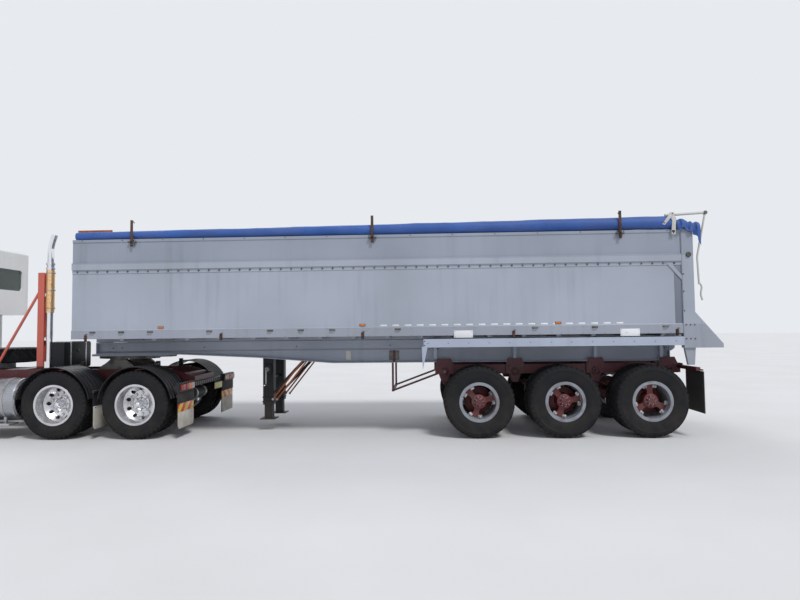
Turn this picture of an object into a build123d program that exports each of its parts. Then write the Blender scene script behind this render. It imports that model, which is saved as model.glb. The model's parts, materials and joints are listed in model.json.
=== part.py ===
from build123d import *
import os
from math import cos, radians, sin, tan

# An articulated tipping lorry: a cab-over tractor with two driven axles, hinged at its kingpin to a
# three-axle trailer whose tub tips backwards on a telescopic hoist.
# Millimetres. +X points to the rear, +Y to the right-hand side and +Z up. The origin lies on the
# ground, in the middle of the rig's length and width.

os.makedirs("parts", exist_ok=True)

SIDES = (("left", -1), ("right", 1))

# Driving dimensions of the whole rig
rig_length = 14430
kingpin_x = -2065
drive_axles_x = (-2630, -1380)
trailer_axle_pitch = 1240
trailer_axles_x = tuple(3735 + n * trailer_axle_pitch for n in range(3))
half_width = 1235
front_x = -rig_length / 2
rear_x = rig_length / 2
steer_axle_x = front_x + 1400

# Tyres and wheels
tractor_tyre_r = 515
trailer_tyre_r = 525
twin_tyre_w = 270
steer_tyre_w = 295
twin_gap = 45
bead_height = 32
tractor_bead_r = 286
trailer_bead_r = 258
rim_flange = 20
rim_wall = 12
spindle_r = 45
bearing_gap = 0.5
steer_tyre_y = 1072.5
twin_y = half_width - twin_tyre_w - twin_gap / 2

# Tractor chassis
rail_top = 1000
rail_depth = 270
rail_flange = 80
rail_wall = 8
rail_outer_y = 430
rail_front_x = front_x + 255
rail_rear_x = -780
king_post_y = 880
spindle_length = 154
fifth_top = 1215

# Cab
cab_half = 1225
cab_wall = 50
cab_front_x = front_x + 115
cab_rear_x = -4750
cab_low = 1020
# Cab's tilt pivot
tilt_x, tilt_z, tilt_pin_r = front_x + 230, 1065, 18
cab_arch_low = 1170
cab_floor_z = 1420
cab_rear_low = 1950
cab_side_top = 3000
cab_top = 3150
screen_low = 2000
screen_lean = 200
door_gap = 8
door_front_x = cab_front_x + 170
door_rear_x = cab_front_x + 1140
door_low = 1200
door_top = 2870
door_hinge_x = door_front_x + 22
door_hinge_y = cab_half + 7
door_hinge_r = 13

# Trailer chassis
beam_y = 500
beam_flange_w = 140
beam_plate = 14
beam_top = 1435
beam_low = 1075
beam_nose_low = 1250
beam_front_x = -2350
coupler_plate = 34
tip_hinge_x = 6735
tip_hinge_z = 1300
tip_pin_r = 40

# Tub
tub_front_x = -2350
tub_post_x = rear_x - 550
tub_post_w = 170
tub_low = 1500
tub_top = 3000
tub_wall = 40
tub_floor_t = 40
runner_low = 1440
recess_half = 170
recess_depth = 400
recess_top = 2975
lug_inner_y = 69
recess_wall = 20
gate_hinge_x = 6790
gate_hinge_z = 2640

# Hoist
hoist_x = tub_front_x - 150
hoist_base_z = 1290
hoist_stage_count = 5
barrel_r = 118
barrel_wall = 10
barrel_length = 1475
hoist_eye_z = hoist_base_z + barrel_length + 185
stage_wall = 11
stage_gap = 1
stage_step = 25
stage_lift = 135
hoist_plate_y = 136
hoist_pin_r = 30


def write(piece, name):
    """Label a finished piece and write its file."""
    piece.part.label = name
    export_step(piece.part, f"parts/{name}.step")


def tyre_section(middle, width, bead_r, tread_r):
    """Draw half of one tyre's section in the plane of its axle, to be revolved."""
    half, bead = width / 2, width * 0.39
    Polygon(
        (middle - bead, bead_r),
        (middle - bead, bead_r + bead_height),
        (middle - half, (bead_r + tread_r) / 2 + 12),
        (middle - half * 0.87, tread_r - 16),
        (middle - half * 0.74, tread_r),
        (middle + half * 0.74, tread_r),
        (middle + half * 0.87, tread_r - 16),
        (middle + half, (bead_r + tread_r) / 2 + 12),
        (middle + bead, bead_r + bead_height),
        (middle + bead, bead_r),
        align=None,
    )


def rim_section(middle, width, bead_r, disc_y, disc_r, outwards):
    """Draw half of one rim's section: flanges, barrel and the dished web that runs to its disc."""
    bead = width * 0.39
    outer, inner = middle - outwards * (bead + 10), middle + outwards * (bead + 10)
    inside_r = bead_r - rim_wall
    Polygon(
        (outer, bead_r + rim_flange),
        (outer + outwards * 10, bead_r + rim_flange),
        (outer + outwards * 10, bead_r),
        (inner - outwards * 10, bead_r),
        (inner - outwards * 10, bead_r + rim_flange),
        (inner, bead_r + rim_flange),
        (inner, inside_r),
        (disc_y + outwards * 14, disc_r + 10),
        (disc_y + outwards * 14, 60),
        (disc_y, 60),
        (disc_y, disc_r),
        (inner - outwards * 40, inside_r),
        (outer, inside_r),
        align=None,
    )


# Twin tyres and steered tyres, each made on the left-hand side about its own centre
twin_offset = (twin_tyre_w + twin_gap) / 2
with BuildPart() as tractor_twin_tyre:
    for middle in (-twin_offset, twin_offset):
        with BuildSketch(Plane.YZ):
            tyre_section(middle, twin_tyre_w, tractor_bead_r, tractor_tyre_r)
        revolve(axis=Axis.Y)

with BuildPart() as trailer_twin_tyre:
    for middle in (-twin_offset, twin_offset):
        with BuildSketch(Plane.YZ):
            tyre_section(middle, twin_tyre_w, trailer_bead_r, trailer_tyre_r)
        revolve(axis=Axis.Y)

with BuildPart() as steer_tyre:
    with BuildSketch(Plane.YZ):
        tyre_section(0, steer_tyre_w, tractor_bead_r, tractor_tyre_r)
    revolve(axis=Axis.Y)

# A driven wheel: two dished rims back to back, a hub with a cone cap and a brake drum behind
drum_r = 205
with BuildPart() as drive_wheel:
    with BuildSketch(Plane.YZ):
        rim_section(-twin_offset, twin_tyre_w, tractor_bead_r, -14, 200, 1)
    revolve(axis=Axis.Y)
    with BuildSketch(Plane.YZ):
        rim_section(twin_offset, twin_tyre_w, tractor_bead_r, 14, 200, -1)
    revolve(axis=Axis.Y)
    with Locations(Rotation(90, 0, 0)):
        with PolarLocations(218, 10):
            Cylinder(28, 200, mode=Mode.SUBTRACT)
    with BuildSketch(Plane.YZ):
        Polygon(
            (-190, 0),
            (-185, 30),
            (-120, 68),
            (-60, 100),
            (-60, 125),
            (0, 125),
            (14, drum_r),
            (150, drum_r),
            (150, drum_r - 14),
            (26, drum_r - 14),
            (26, 70),
            (60, 70),
            (60, spindle_r + bearing_gap),
            (-70, spindle_r + bearing_gap),
            (-70, 0),
            align=None,
        )
    revolve(axis=Axis.Y)

# A trailer wheel: two demountable rims and a band on a cast hub with three flared spokes
spoke_count = 3
trailer_rim_inside = trailer_bead_r - rim_wall
with BuildPart() as trailer_wheel:
    for middle in (-twin_offset, twin_offset):
        with BuildSketch(Plane.YZ):
            bead = twin_tyre_w * 0.39
            Polygon(
                (middle - bead - 10, trailer_bead_r + rim_flange + 12),
                (middle - bead, trailer_bead_r + rim_flange + 12),
                (middle - bead, trailer_bead_r),
                (middle + bead, trailer_bead_r),
                (middle + bead, trailer_bead_r + rim_flange + 12),
                (middle + bead + 10, trailer_bead_r + rim_flange + 12),
                (middle + bead + 10, trailer_rim_inside),
                (middle - bead - 10, trailer_rim_inside),
                align=None,
            )
        revolve(axis=Axis.Y)
    with BuildSketch(Plane.YZ):
        with Locations((0, trailer_rim_inside + 5)):
            Rectangle(2 * (twin_offset - twin_tyre_w * 0.39) + 2, 10)
    revolve(axis=Axis.Y)
    with BuildSketch(Plane.XZ.offset(170)) as spokes:
        with PolarLocations(0, spoke_count, start_angle=15):
            Polygon(
                (60, -48),
                (150, -38),
                (215, -78),
                (trailer_rim_inside + 4, -88),
                (trailer_rim_inside + 4, 88),
                (215, 78),
                (150, 38),
                (60, 48),
                align=None,
            )
        with BuildSketch(mode=Mode.PRIVATE) as rim_hole:
            Circle(trailer_rim_inside + 0.5)
        add(rim_hole.sketch, mode=Mode.INTERSECT)
    extrude(amount=-130)
    with BuildSketch(Plane.YZ):
        Polygon(
            (-225, 0),
            (-225, 62),
            (-200, 74),
            (-190, 105),
            (-30, 118),
            (0, drum_r),
            (150, drum_r),
            (150, drum_r - 14),
            (16, drum_r - 14),
            (16, 75),
            (60, 75),
            (60, spindle_r + bearing_gap),
            (-100, spindle_r + bearing_gap),
            (-100, 0),
            align=None,
        )
    revolve(axis=Axis.Y)

# A steered wheel: one rim whose disc stands near its outer flange, with a short hub cap
with BuildPart() as steer_wheel:
    with BuildSketch(Plane.YZ):
        rim_section(0, steer_tyre_w, tractor_bead_r, -70, 200, -1)
    revolve(axis=Axis.Y)
    with Locations(Rotation(90, 0, 0)):
        with PolarLocations(218, 10):
            Cylinder(28, 400, mode=Mode.SUBTRACT)
    with BuildSketch(Plane.YZ):
        Polygon(
            (-165, 0),
            (-165, 60),
            (-150, 82),
            (-84, 95),
            (-84, 120),
            (-70, 120),
            (-20, 120),
            (-20, 185),
            (60, 185),
            (60, 172),
            (0, 172),
            (0, 75),
            (20, 75),
            (20, spindle_r + bearing_gap),
            (-80, spindle_r + bearing_gap),
            (-80, 0),
            align=None,
        )
    revolve(axis=Axis.Y)

# Wheel stations: name, axle X, centre height, distance from the centre line, turn, tyre and wheel
STATIONS = (
    ("steer", steer_axle_x, tractor_tyre_r, steer_tyre_y, 0, steer_tyre, steer_wheel),
    ("drive_front", drive_axles_x[0], tractor_tyre_r, twin_y, 0, tractor_twin_tyre, drive_wheel),
    ("drive_rear", drive_axles_x[1], tractor_tyre_r, twin_y, 14, tractor_twin_tyre, drive_wheel),
    ("trailer_1", trailer_axles_x[0], trailer_tyre_r, twin_y, 0, trailer_twin_tyre, trailer_wheel),
    ("trailer_2", trailer_axles_x[1], trailer_tyre_r, twin_y, 5, trailer_twin_tyre, trailer_wheel),
    ("trailer_3", trailer_axles_x[2], trailer_tyre_r, twin_y, 42, trailer_twin_tyre, trailer_wheel),
)
for station, axle_x, height, from_middle, spin, tyre, wheel in STATIONS:
    for side_name, side in SIDES:
        turn = 0 if side < 0 else 180
        with BuildPart() as tyre_piece:
            with Locations(Location((axle_x, side * from_middle, height), (0, 0, turn))):
                add(tyre.part)
        write(tyre_piece, f"tyre_{station}_{side_name}")
        with BuildPart() as wheel_piece:
            with Locations(Location((axle_x, side * from_middle, height), (0, spin, turn))):
                add(wheel.part)
        write(wheel_piece, f"wheel_{station}_{side_name}")

# Tractor frame: two channel rails, cross members, the rear end plate and the red stack post
cross_members_x = (-6900, -5250, -4380, -3560, -2990, -2005, -940)
post_x, post_y, post_top = -3560, -110, 2630
stay_top = (post_x - 20, post_y, 2365)
stay_foot = (-4180, -390, rail_top - 20)
with BuildPart() as tractor_frame:
    for side in (-1, 1):
        with BuildSketch(Plane.YZ.offset(rail_front_x)):
            Polygon(
                (side * rail_outer_y, rail_top),
                (side * (rail_outer_y - rail_flange), rail_top),
                (side * (rail_outer_y - rail_flange), rail_top - rail_wall),
                (side * (rail_outer_y - rail_wall), rail_top - rail_wall),
                (side * (rail_outer_y - rail_wall), rail_top - rail_depth + rail_wall),
                (side * (rail_outer_y - rail_flange), rail_top - rail_depth + rail_wall),
                (side * (rail_outer_y - rail_flange), rail_top - rail_depth),
                (side * rail_outer_y, rail_top - rail_depth),
                align=None,
            )
        extrude(amount=rail_rear_x - rail_front_x)
    for member_x in cross_members_x:
        with Locations((member_x, 0, rail_top - 130)):
            Box(60, 2 * (rail_outer_y - rail_wall), 200)
    with Locations((rail_rear_x - 10, 0, rail_top - rail_depth / 2)):
        Box(20, 2 * rail_outer_y, rail_depth)
    # Tapered tail cut, so that the rails fall away behind the coupling
    with BuildSketch(Plane.XZ):
        Polygon(
            (rail_rear_x - 420, rail_top + 1),
            (rail_rear_x + 1, rail_top + 1),
            (rail_rear_x + 1, rail_top - 125),
            align=None,
        )
    extrude(amount=rail_outer_y + 1, both=True, mode=Mode.SUBTRACT)
    with Locations((post_x, post_y, rail_top - 40)):
        Box(110, 90, post_top - rail_top + 40, align=(Align.CENTER, Align.CENTER, Align.MIN))
    with Locations((post_x + 25, post_y, rail_top + 60)):
        Box(70, 60, post_top, align=(Align.CENTER, Align.CENTER, Align.MIN), mode=Mode.SUBTRACT)
    with BuildLine() as stay_line:
        Line(stay_top, stay_foot)
    with BuildSketch(Plane(origin=stay_top, z_dir=Vector(*stay_foot) - Vector(*stay_top))):
        Circle(22)
    sweep(path=stay_line.wires()[0])
    with Locations((stay_foot[0], stay_foot[1] + 40, rail_top - 20)):
        Box(160, 160, 40)
    # Ears and pins that the cab tilts on
    for side in (-1, 1):
        with BuildSketch(Plane.XZ.offset(-side * (rail_outer_y - 40))):
            Polygon(
                (tilt_x - 30, tilt_z),
                (tilt_x, tilt_z + 30),
                (tilt_x + 60, tilt_z),
                (tilt_x + 90, rail_top - 20),
                (rail_front_x, rail_top - 20),
                (rail_front_x, rail_top),
                align=None,
            )
        extrude(amount=-side * 40)
        with Locations((tilt_x, side * (rail_outer_y - 60), tilt_z)):
            Cylinder(tilt_pin_r, 120, rotation=(90, 0, 0))
write(tractor_frame, "tractor_frame")

# Front axle: a dropped beam with a boss at each end and two leaf springs under the rails
beam_z = 430
boss_r = 38
pin_r = 25
with BuildPart() as front_axle:
    with BuildSketch(Plane.YZ):
        Polygon(
            (-king_post_y, 575),
            (-king_post_y, 455),
            (-700, 385),
            (700, 385),
            (king_post_y, 455),
            (king_post_y, 575),
            (760, 545),
            (640, 475),
            (-640, 475),
            (-760, 545),
            align=None,
        )
    extrude(amount=45, both=True)
    with Locations(*[(0, side * king_post_y, 515) for side in (-1, 1)]):
        Cylinder(boss_r, 140)
    with Locations(*[(0, side * king_post_y, 515) for side in (-1, 1)]):
        Cylinder(pin_r + bearing_gap, 200, mode=Mode.SUBTRACT)
    for side in (-1, 1):
        with BuildSketch(Plane.XZ.offset(-side * 390)):
            with BuildLine():
                ThreePointArc((-700, 690), (0, 465), (700, 690))
                Line((700, 690), (700, 715))
                ThreePointArc((700, 715), (0, 545), (-700, 715))
                Line((-700, 715), (-700, 690))
            make_face()
        extrude(amount=38, both=True)
        with Locations((-700, side * 390, 708), (700, side * 390, 708)):
            Cylinder(22, 76, rotation=(90, 0, 0))
        with Locations((0, side * 390, 505)):
            Box(150, 90, 110)
with BuildPart() as front_axle_placed:
    with Locations((steer_axle_x, 0, 0)):
        add(front_axle.part)
write(front_axle_placed, "front_axle")

# Steering knuckles: a fork round the beam's boss, its pin, a spindle and a steering arm
with BuildPart() as knuckle:
    for arm_z in (-108, 108):
        with Locations((0, -40, arm_z)):
            Box(90, 150, 50)
    with Locations((0, -90, 0)):
        Box(90, 50, 230)
    Cylinder(pin_r, 230)
    with Locations((0, -115, 0)):
        Cylinder(
            spindle_r, spindle_length, rotation=(90, 0, 0), align=(Align.CENTER, Align.CENTER, Align.MIN)
        )
    with Locations((90, 25, -118)):
        Box(200, 50, 30)
for side_name, side in SIDES:
    with BuildPart() as knuckle_piece:
        with Locations((steer_axle_x, -king_post_y, tractor_tyre_r)):
            add(knuckle.part)
        if side > 0:
            mirror(about=Plane.XZ, mode=Mode.REPLACE)
    write(knuckle_piece, f"knuckle_{side_name}")

# Drive axles: two banjo housings on a pair of inverted springs that share a trunnion
spring_y = 500
bogie_x = sum(drive_axles_x) / 2
with BuildPart() as drive_axles:
    for axle_x in drive_axles_x:
        with Locations((axle_x, 0, tractor_tyre_r)):
            Cylinder(70, 2 * (twin_y - 175), rotation=(90, 0, 0))
            Cylinder(spindle_r, 2 * (twin_y + 60), rotation=(90, 0, 0))
            Sphere(200)
    for side in (-1, 1):
        with BuildSketch(Plane.XZ.offset(-side * spring_y)):
            with BuildLine():
                ThreePointArc(
                    (drive_axles_x[0] - 40, 575), (bogie_x, 690), (drive_axles_x[1] + 40, 575)
                )
                Line((drive_axles_x[1] + 40, 575), (drive_axles_x[1] + 40, 540))
                ThreePointArc(
                    (drive_axles_x[1] + 40, 540), (bogie_x, 570), (drive_axles_x[0] - 40, 540)
                )
                Line((drive_axles_x[0] - 40, 540), (drive_axles_x[0] - 40, 575))
            make_face()
        extrude(amount=45, both=True)
        with Locations((bogie_x, side * spring_y, 600)):
            Cylinder(70, 110, rotation=(90, 0, 0))
    with Locations((bogie_x, 0, 600)):
        Cylinder(40, 2 * spring_y, rotation=(90, 0, 0))
write(drive_axles, "drive_axles")

# Engine and gearbox as one plain block
with BuildPart() as engine_block:
    with BuildSketch(Plane.XZ):
        Polygon(
            (-6800, 620),
            (-6800, 1370),
            (-5560, 1370),
            (-5560, 1080),
            (-4800, 1010),
            (-4800, 700),
            (-5560, 620),
            align=None,
        )
    extrude(amount=300, both=True)
    with Locations((-5250, 0, rail_top - 130)):
        Box(70, 2 * rail_outer_y, 210, mode=Mode.SUBTRACT)
write(engine_block, "engine_block")

# Bumper with lamp pockets, entry steps and two sockets for the towing eye
bumper_low, bumper_top = 420, 930
bumper_end_x, bumper_back_x = front_x + 115, front_x + 225
bumper_hollow_x = front_x + 145
lamp_floor_x = bumper_hollow_x - 20
step_front_x, step_rear_x, step_width = front_x + 245, front_x + 765, 215
step_heights = (440, 710, 970)
front_guard_r, guard_wall = 665, 6
front_guard_out, front_guard_w = cab_half - cab_wall - 10, 260
tow_socket_z = 500
tow_socket_r, tow_socket_depth = 20, 130
tow_boss_r, tow_boss_length = 38, 150
tow_socket_x = front_x + 10
with BuildPart() as front_bumper:
    with BuildSketch(Plane.XY.offset(bumper_low)):
        with BuildLine():
            Polyline((bumper_back_x, -cab_half), (bumper_end_x, -cab_half))
            ThreePointArc((bumper_end_x, -cab_half), (front_x, 0), (bumper_end_x, cab_half))
            Polyline((bumper_end_x, cab_half), (bumper_back_x, cab_half), (bumper_back_x, -cab_half))
        make_face()
    extrude(amount=bumper_top - bumper_low)
    with Locations((bumper_hollow_x, 0, (bumper_low + bumper_top) / 2)):
        Box(
            bumper_back_x - bumper_hollow_x + 10,
            2 * (cab_half - 30),
            bumper_top - bumper_low - 80,
            align=(Align.MIN, Align.CENTER, Align.CENTER),
            mode=Mode.SUBTRACT,
        )
    with BuildSketch(Plane.YZ.offset(front_x)):
        with Locations((-905, 690), (905, 690)):
            RectangleRounded(430, 190, 40)
    extrude(amount=lamp_floor_x - front_x, mode=Mode.SUBTRACT)
    with BuildSketch(Plane.YZ.offset(front_x)):
        with Locations((0, 620), (0, 690), (0, 760)):
            RectangleRounded(1050, 34, 15)
    extrude(amount=55, mode=Mode.SUBTRACT)
    with Locations((tow_socket_x, 0, tow_socket_z)):
        Cylinder(
            tow_boss_r, tow_boss_length, rotation=(0, 90, 0), align=(Align.CENTER, Align.CENTER, Align.MIN)
        )
    with Locations((front_x - 1, 0, tow_socket_z)):
        Cylinder(
            1.6 * tow_boss_r,
            tow_socket_x - front_x + 1,
            rotation=(0, 90, 0),
            align=(Align.CENTER, Align.CENTER, Align.MIN),
            mode=Mode.SUBTRACT,
        )
    with Locations((tow_socket_x, 0, tow_socket_z)):
        Cylinder(
            tow_socket_r,
            tow_socket_depth,
            rotation=(0, 90, 0),
            align=(Align.CENTER, Align.CENTER, Align.MIN),
            mode=Mode.SUBTRACT,
        )
    for side in (-1, 1):
        # Bracket along the rail
        with Locations((bumper_hollow_x - 10, side * (rail_outer_y + 10), rail_top - 200)):
            Box(260, 20, 120, align=(Align.MIN, Align.CENTER, Align.MIN))
write(front_bumper, "front_bumper")

# Entry steps on their side plates, and the shells over the steered wheels, on arms from the rails
with BuildPart() as front_steps:
    for side in (-1, 1):
        with BuildSketch(Plane.XZ.offset(-side * (cab_half - step_width))):
            Polygon(
                (step_front_x, step_heights[0] - 12),
                (step_front_x, step_heights[-1] + 12),
                (step_rear_x, step_heights[-1] + 12),
                (step_rear_x, step_heights[1]),
                (step_rear_x - 60, step_heights[0] - 12),
                align=None,
            )
        extrude(amount=side * 16)
        for step_z in step_heights:
            with Locations((step_front_x, side * (cab_half - step_width), step_z)):
                Box(
                    step_rear_x - step_front_x - 60,
                    step_width,
                    24,
                    align=(Align.MIN, Align.MAX if side < 0 else Align.MIN, Align.CENTER),
                )
        with Locations((step_rear_x - 200, side * rail_outer_y, rail_top - 120)):
            Box(
                90,
                cab_half - step_width - 16 - rail_outer_y,
                90,
                align=(Align.CENTER, Align.MAX if side < 0 else Align.MIN, Align.CENTER),
            )
        with BuildSketch(Plane.XZ.offset(-side * front_guard_out)):
            with BuildLine():
                CenterArc((steer_axle_x, tractor_tyre_r), front_guard_r, 24, 132)
                CenterArc((steer_axle_x, tractor_tyre_r), front_guard_r + guard_wall, 24, 132)
                for angle in (24, 156):
                    reach = Vector(cos(radians(angle)), sin(radians(angle)))
                    middle = Vector(steer_axle_x, tractor_tyre_r)
                    Line(middle + reach * front_guard_r, middle + reach * (front_guard_r + guard_wall))
            make_face()
        extrude(amount=side * front_guard_w)
        with Locations((steer_axle_x, side * 400, tractor_tyre_r + front_guard_r)):
            Box(60, front_guard_out - 400, 20, align=(Align.CENTER, Align.MAX if side < 0 else Align.MIN, Align.CENTER))
        with Locations((steer_axle_x, side * 400, rail_top)):
            Box(
                60,
                20,
                tractor_tyre_r + front_guard_r - rail_top,
                align=(Align.CENTER, Align.MAX if side < 0 else Align.MIN, Align.MIN),
            )
write(front_steps, "front_steps")

# Fuel tanks: domed cylinders, each on two straps beside the rail
tank_r, tank_y, tank_z = 325, 885, 580
tank_front, tank_rear = -4520, -3235
with BuildPart() as fuel_tanks:
    for side in (-1, 1):
        with Locations(((tank_front + tank_rear) / 2, side * tank_y, tank_z)):
            Cylinder(tank_r, tank_rear - tank_front, rotation=(0, 90, 0))
    fillet(fuel_tanks.edges().filter_by(GeomType.CIRCLE), 70)
    for side in (-1, 1):
        for strap_x in (tank_front + 260, tank_rear - 260):
            with Locations((strap_x, side * tank_y, tank_z)):
                Cylinder(tank_r + 6, 60, rotation=(0, 90, 0))
            with Locations((strap_x, side * (rail_outer_y + 75), tank_z + 130)):
                Box(60, 150, 260)
write(fuel_tanks, "fuel_tanks")

# Hydraulic tank behind the cab, a battery box and the air vessels between the rails
with BuildPart() as chassis_tanks:
    with Locations((-3110, 20, rail_top)):
        Box(240, 800, 460, align=(Align.CENTER, Align.CENTER, Align.MIN))
    fillet(chassis_tanks.edges().filter_by(Axis.Z), 40)
    with Locations((-940, 50, 575)):
        Cylinder(95, 620, rotation=(90, 0, 0))
    with Locations((-940, 50, rail_top - 290)):
        Box(60, 60, 120)
    with Locations((-4380, 180, rail_top)):
        Cylinder(140, 100, align=(Align.CENTER, Align.CENTER, Align.MIN))
    with Locations((-4380, 180, rail_top + 100)):
        Cylinder(tractor_tyre_r, 250, align=(Align.CENTER, Align.CENTER, Align.MIN))
        Cylinder(tractor_bead_r, 250, align=(Align.CENTER, Align.CENTER, Align.MIN), mode=Mode.SUBTRACT)
    with Locations((-4380, 180, rail_top + 100)):
        Cylinder(tractor_bead_r, 60, align=(Align.CENTER, Align.CENTER, Align.MIN))
write(chassis_tanks, "chassis_tanks")

# Fifth wheel: a plate with a lead-in throat, on two pedestals
throat_half = 26.5
with BuildPart() as fifth_wheel:
    with BuildSketch(Plane.XY.offset(fifth_top - 45)):
        with Locations((kingpin_x, 0)):
            Circle(475)
            Rectangle(620, 840, align=(Align.MIN, Align.CENTER))
        Polygon(
            (kingpin_x, throat_half),
            (kingpin_x + 150, throat_half),
            (kingpin_x + 700, 260),
            (kingpin_x + 700, -260),
            (kingpin_x + 150, -throat_half),
            (kingpin_x, -throat_half),
            align=None,
            mode=Mode.SUBTRACT,
        )
        with Locations((kingpin_x, 0)):
            Circle(throat_half, mode=Mode.SUBTRACT)
    extrude(amount=45)
    for side in (-1, 1):
        with BuildSketch(Plane.XZ.offset(-side * 370)):
            Polygon(
                (kingpin_x - 330, rail_top),
                (kingpin_x + 330, rail_top),
                (kingpin_x + 110, fifth_top - 40),
                (kingpin_x - 110, fifth_top - 40),
                align=None,
            )
        extrude(amount=45, both=True)
write(fifth_wheel, "fifth_wheel")

# Drive mudguards with their flaps, the tail lamp boxes and their carrying bar
guard_r = 560
flap_x = -720
flap_top, flap_low = 530, 150
with BuildPart() as drive_mudguards:
    for side in (-1, 1):
        for axle_x in drive_axles_x:
            with BuildSketch(Plane.XZ.offset(-side * 645)):
                with Locations((axle_x, tractor_tyre_r)):
                    Circle(guard_r + guard_wall)
                    Circle(guard_r, mode=Mode.SUBTRACT)
                    with Locations((0, -guard_r + 90)):
                        Rectangle(2.2 * guard_r, 2 * guard_r, mode=Mode.SUBTRACT)
            extrude(amount=-side * 595)
        for bracket_x in drive_axles_x:
            with Locations((bracket_x, side * 540, tractor_tyre_r + guard_r + 3)):
                Box(60, 230, 30)
            with Locations((bracket_x, side * (rail_outer_y + 20), rail_top - 20)):
                Box(60, 40, 150, align=(Align.CENTER, Align.CENTER, Align.MIN))
        # Flap between the wheels, hung from a bar
        with Locations((bogie_x, side * 940, 430)):
            Box(8, 590, 560, align=(Align.CENTER, Align.CENTER, Align.CENTER))
        with Locations((bogie_x, side * 830, 715)):
            Box(40, 810, 30)
        # Rear flap, black panel and lamp box on the tail bar
        with Locations((flap_x, side * 938, (flap_top + flap_low) / 2)):
            Box(8, 594, flap_top - flap_low)
        with Locations((flap_x, side * 938, 620)):
            Box(14, 594, 180)
        with Locations((flap_x, side * 960, 765)):
            Box(60, 545, 130)
    with Locations((flap_x - 35, 0, 765)):
        Box(50, 2 * half_width - 10, 60)
write(drive_mudguards, "drive_mudguards")

# Exhaust stack: shield pipe, flange rings and a tip that leans back
stack_x, stack_y, stack_r = -3425, -110, 62
with BuildPart() as exhaust_stack:
    with Locations((stack_x, stack_y, rail_top + 120)):
        Cylinder(stack_r - 8, 820, align=(Align.CENTER, Align.CENTER, Align.MIN))
    with Locations((stack_x, stack_y, 1940)):
        Cylinder(stack_r, 860, align=(Align.CENTER, Align.CENTER, Align.MIN))
    for ring_z in (2680, 2760):
        with Locations((stack_x, stack_y, ring_z)):
            Cylinder(stack_r + 12, 26, align=(Align.CENTER, Align.CENTER, Align.MIN))
    with BuildLine() as tip_line:
        Line((stack_x, stack_y, 2800), (stack_x, stack_y, 3040))
        RadiusArc((stack_x, stack_y, 3040), (stack_x + 62, stack_y, 3270), -457)
    with BuildSketch(Plane.XY.offset(2800).move(Location((stack_x, stack_y, 0)))):
        Circle(stack_r - 10)
    sweep(path=tip_line.wires()[0])
    with Locations((stack_x, stack_y, rail_top - 30)):
        Box(90, 120, 150, align=(Align.CENTER, Align.CENTER, Align.MIN))
    for clamp_z in (1500, 2250):
        with Locations((stack_x - 70, stack_y, clamp_z)):
            Box(50, 60, 50)
write(exhaust_stack, "exhaust_stack")

# Cab panels. The front panel stands upright and then leans back with the windscreen.
cab_front_top_x = cab_front_x + screen_lean
screen_slope = screen_lean / (cab_side_top - screen_low)
with BuildPart() as cab_front:
    with BuildSketch(Plane.XZ):
        Polygon(
            (cab_front_x, cab_low),
            (cab_front_x, screen_low),
            (cab_front_top_x, cab_side_top),
            (cab_front_top_x + cab_wall + 10, cab_side_top),
            (cab_front_x + cab_wall + 10, screen_low),
            (cab_front_x + cab_wall + 10, cab_low),
            align=None,
        )
    extrude(amount=cab_half, both=True)
    fillet(
        cab_front.edges().filter_by(GeomType.LINE).group_by(Axis.Y)[0].sort_by(Axis.X)[:2]
        + cab_front.edges().filter_by(GeomType.LINE).group_by(Axis.Y)[-1].sort_by(Axis.X)[:2],
        30,
    )
    with BuildSketch(Plane.YZ.offset(cab_front_x - 10)):
        with Locations((0, 2400)):
            RectangleRounded(2160, 700, 70)
    extrude(amount=300, mode=Mode.SUBTRACT)
    with BuildSketch(Plane.YZ.offset(cab_front_x)):
        for slot_z in range(1160, 1841, 85):
            with Locations((0, slot_z)):
                RectangleRounded(1500, 48, 20)
    extrude(amount=35, mode=Mode.SUBTRACT)
    for side in (-1, 1):
        with BuildSketch(Plane.XZ.offset(-side * (rail_outer_y - 110))):
            Polygon(
                (cab_front_x + cab_wall, tilt_z - 34),
                (tilt_x, tilt_z - 34),
                (tilt_x + 34, tilt_z),
                (tilt_x, tilt_z + 34),
                (cab_front_x + cab_wall, tilt_z + 120),
                align=None,
            )
            with Locations((tilt_x, tilt_z)):
                Circle(tilt_pin_r + 1, mode=Mode.SUBTRACT)
        extrude(amount=-side * 50)
write(cab_front, "cab_front")

side_front_x = cab_front_x + cab_wall + 10
side_top_x = cab_front_top_x + cab_wall + 10


def door_outline(gap):
    """Draw the door, shrunk by a gap all round, with its front edge along the screen pillar."""
    front, rear = door_front_x + gap, door_rear_x - gap
    lean = screen_slope * (door_top - screen_low)
    Polygon(
        (front, door_low + gap),
        (front, screen_low),
        (front + lean, door_top - gap),
        (rear, door_top - gap),
        (rear, door_low + gap),
        align=None,
    )


with BuildPart() as cab_sides:
    for side in (-1, 1):
        with BuildSketch(Plane.XZ.offset(-side * (cab_half - cab_wall))):
            Polygon(
                (side_front_x, cab_low),
                (side_front_x, screen_low),
                (side_top_x, cab_side_top),
                (cab_rear_x, cab_side_top),
                (cab_rear_x, cab_rear_low),
                (steer_axle_x + 565, cab_rear_low),
                (steer_axle_x + 565, cab_arch_low),
                (steer_axle_x - 625, cab_arch_low),
                (steer_axle_x - 655, cab_low),
                align=None,
            )
            with BuildSketch(mode=Mode.PRIVATE) as opening:
                door_outline(0)
            add(opening.sketch, mode=Mode.SUBTRACT)
        extrude(amount=-side * cab_wall)
write(cab_sides, "cab_sides")

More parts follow.
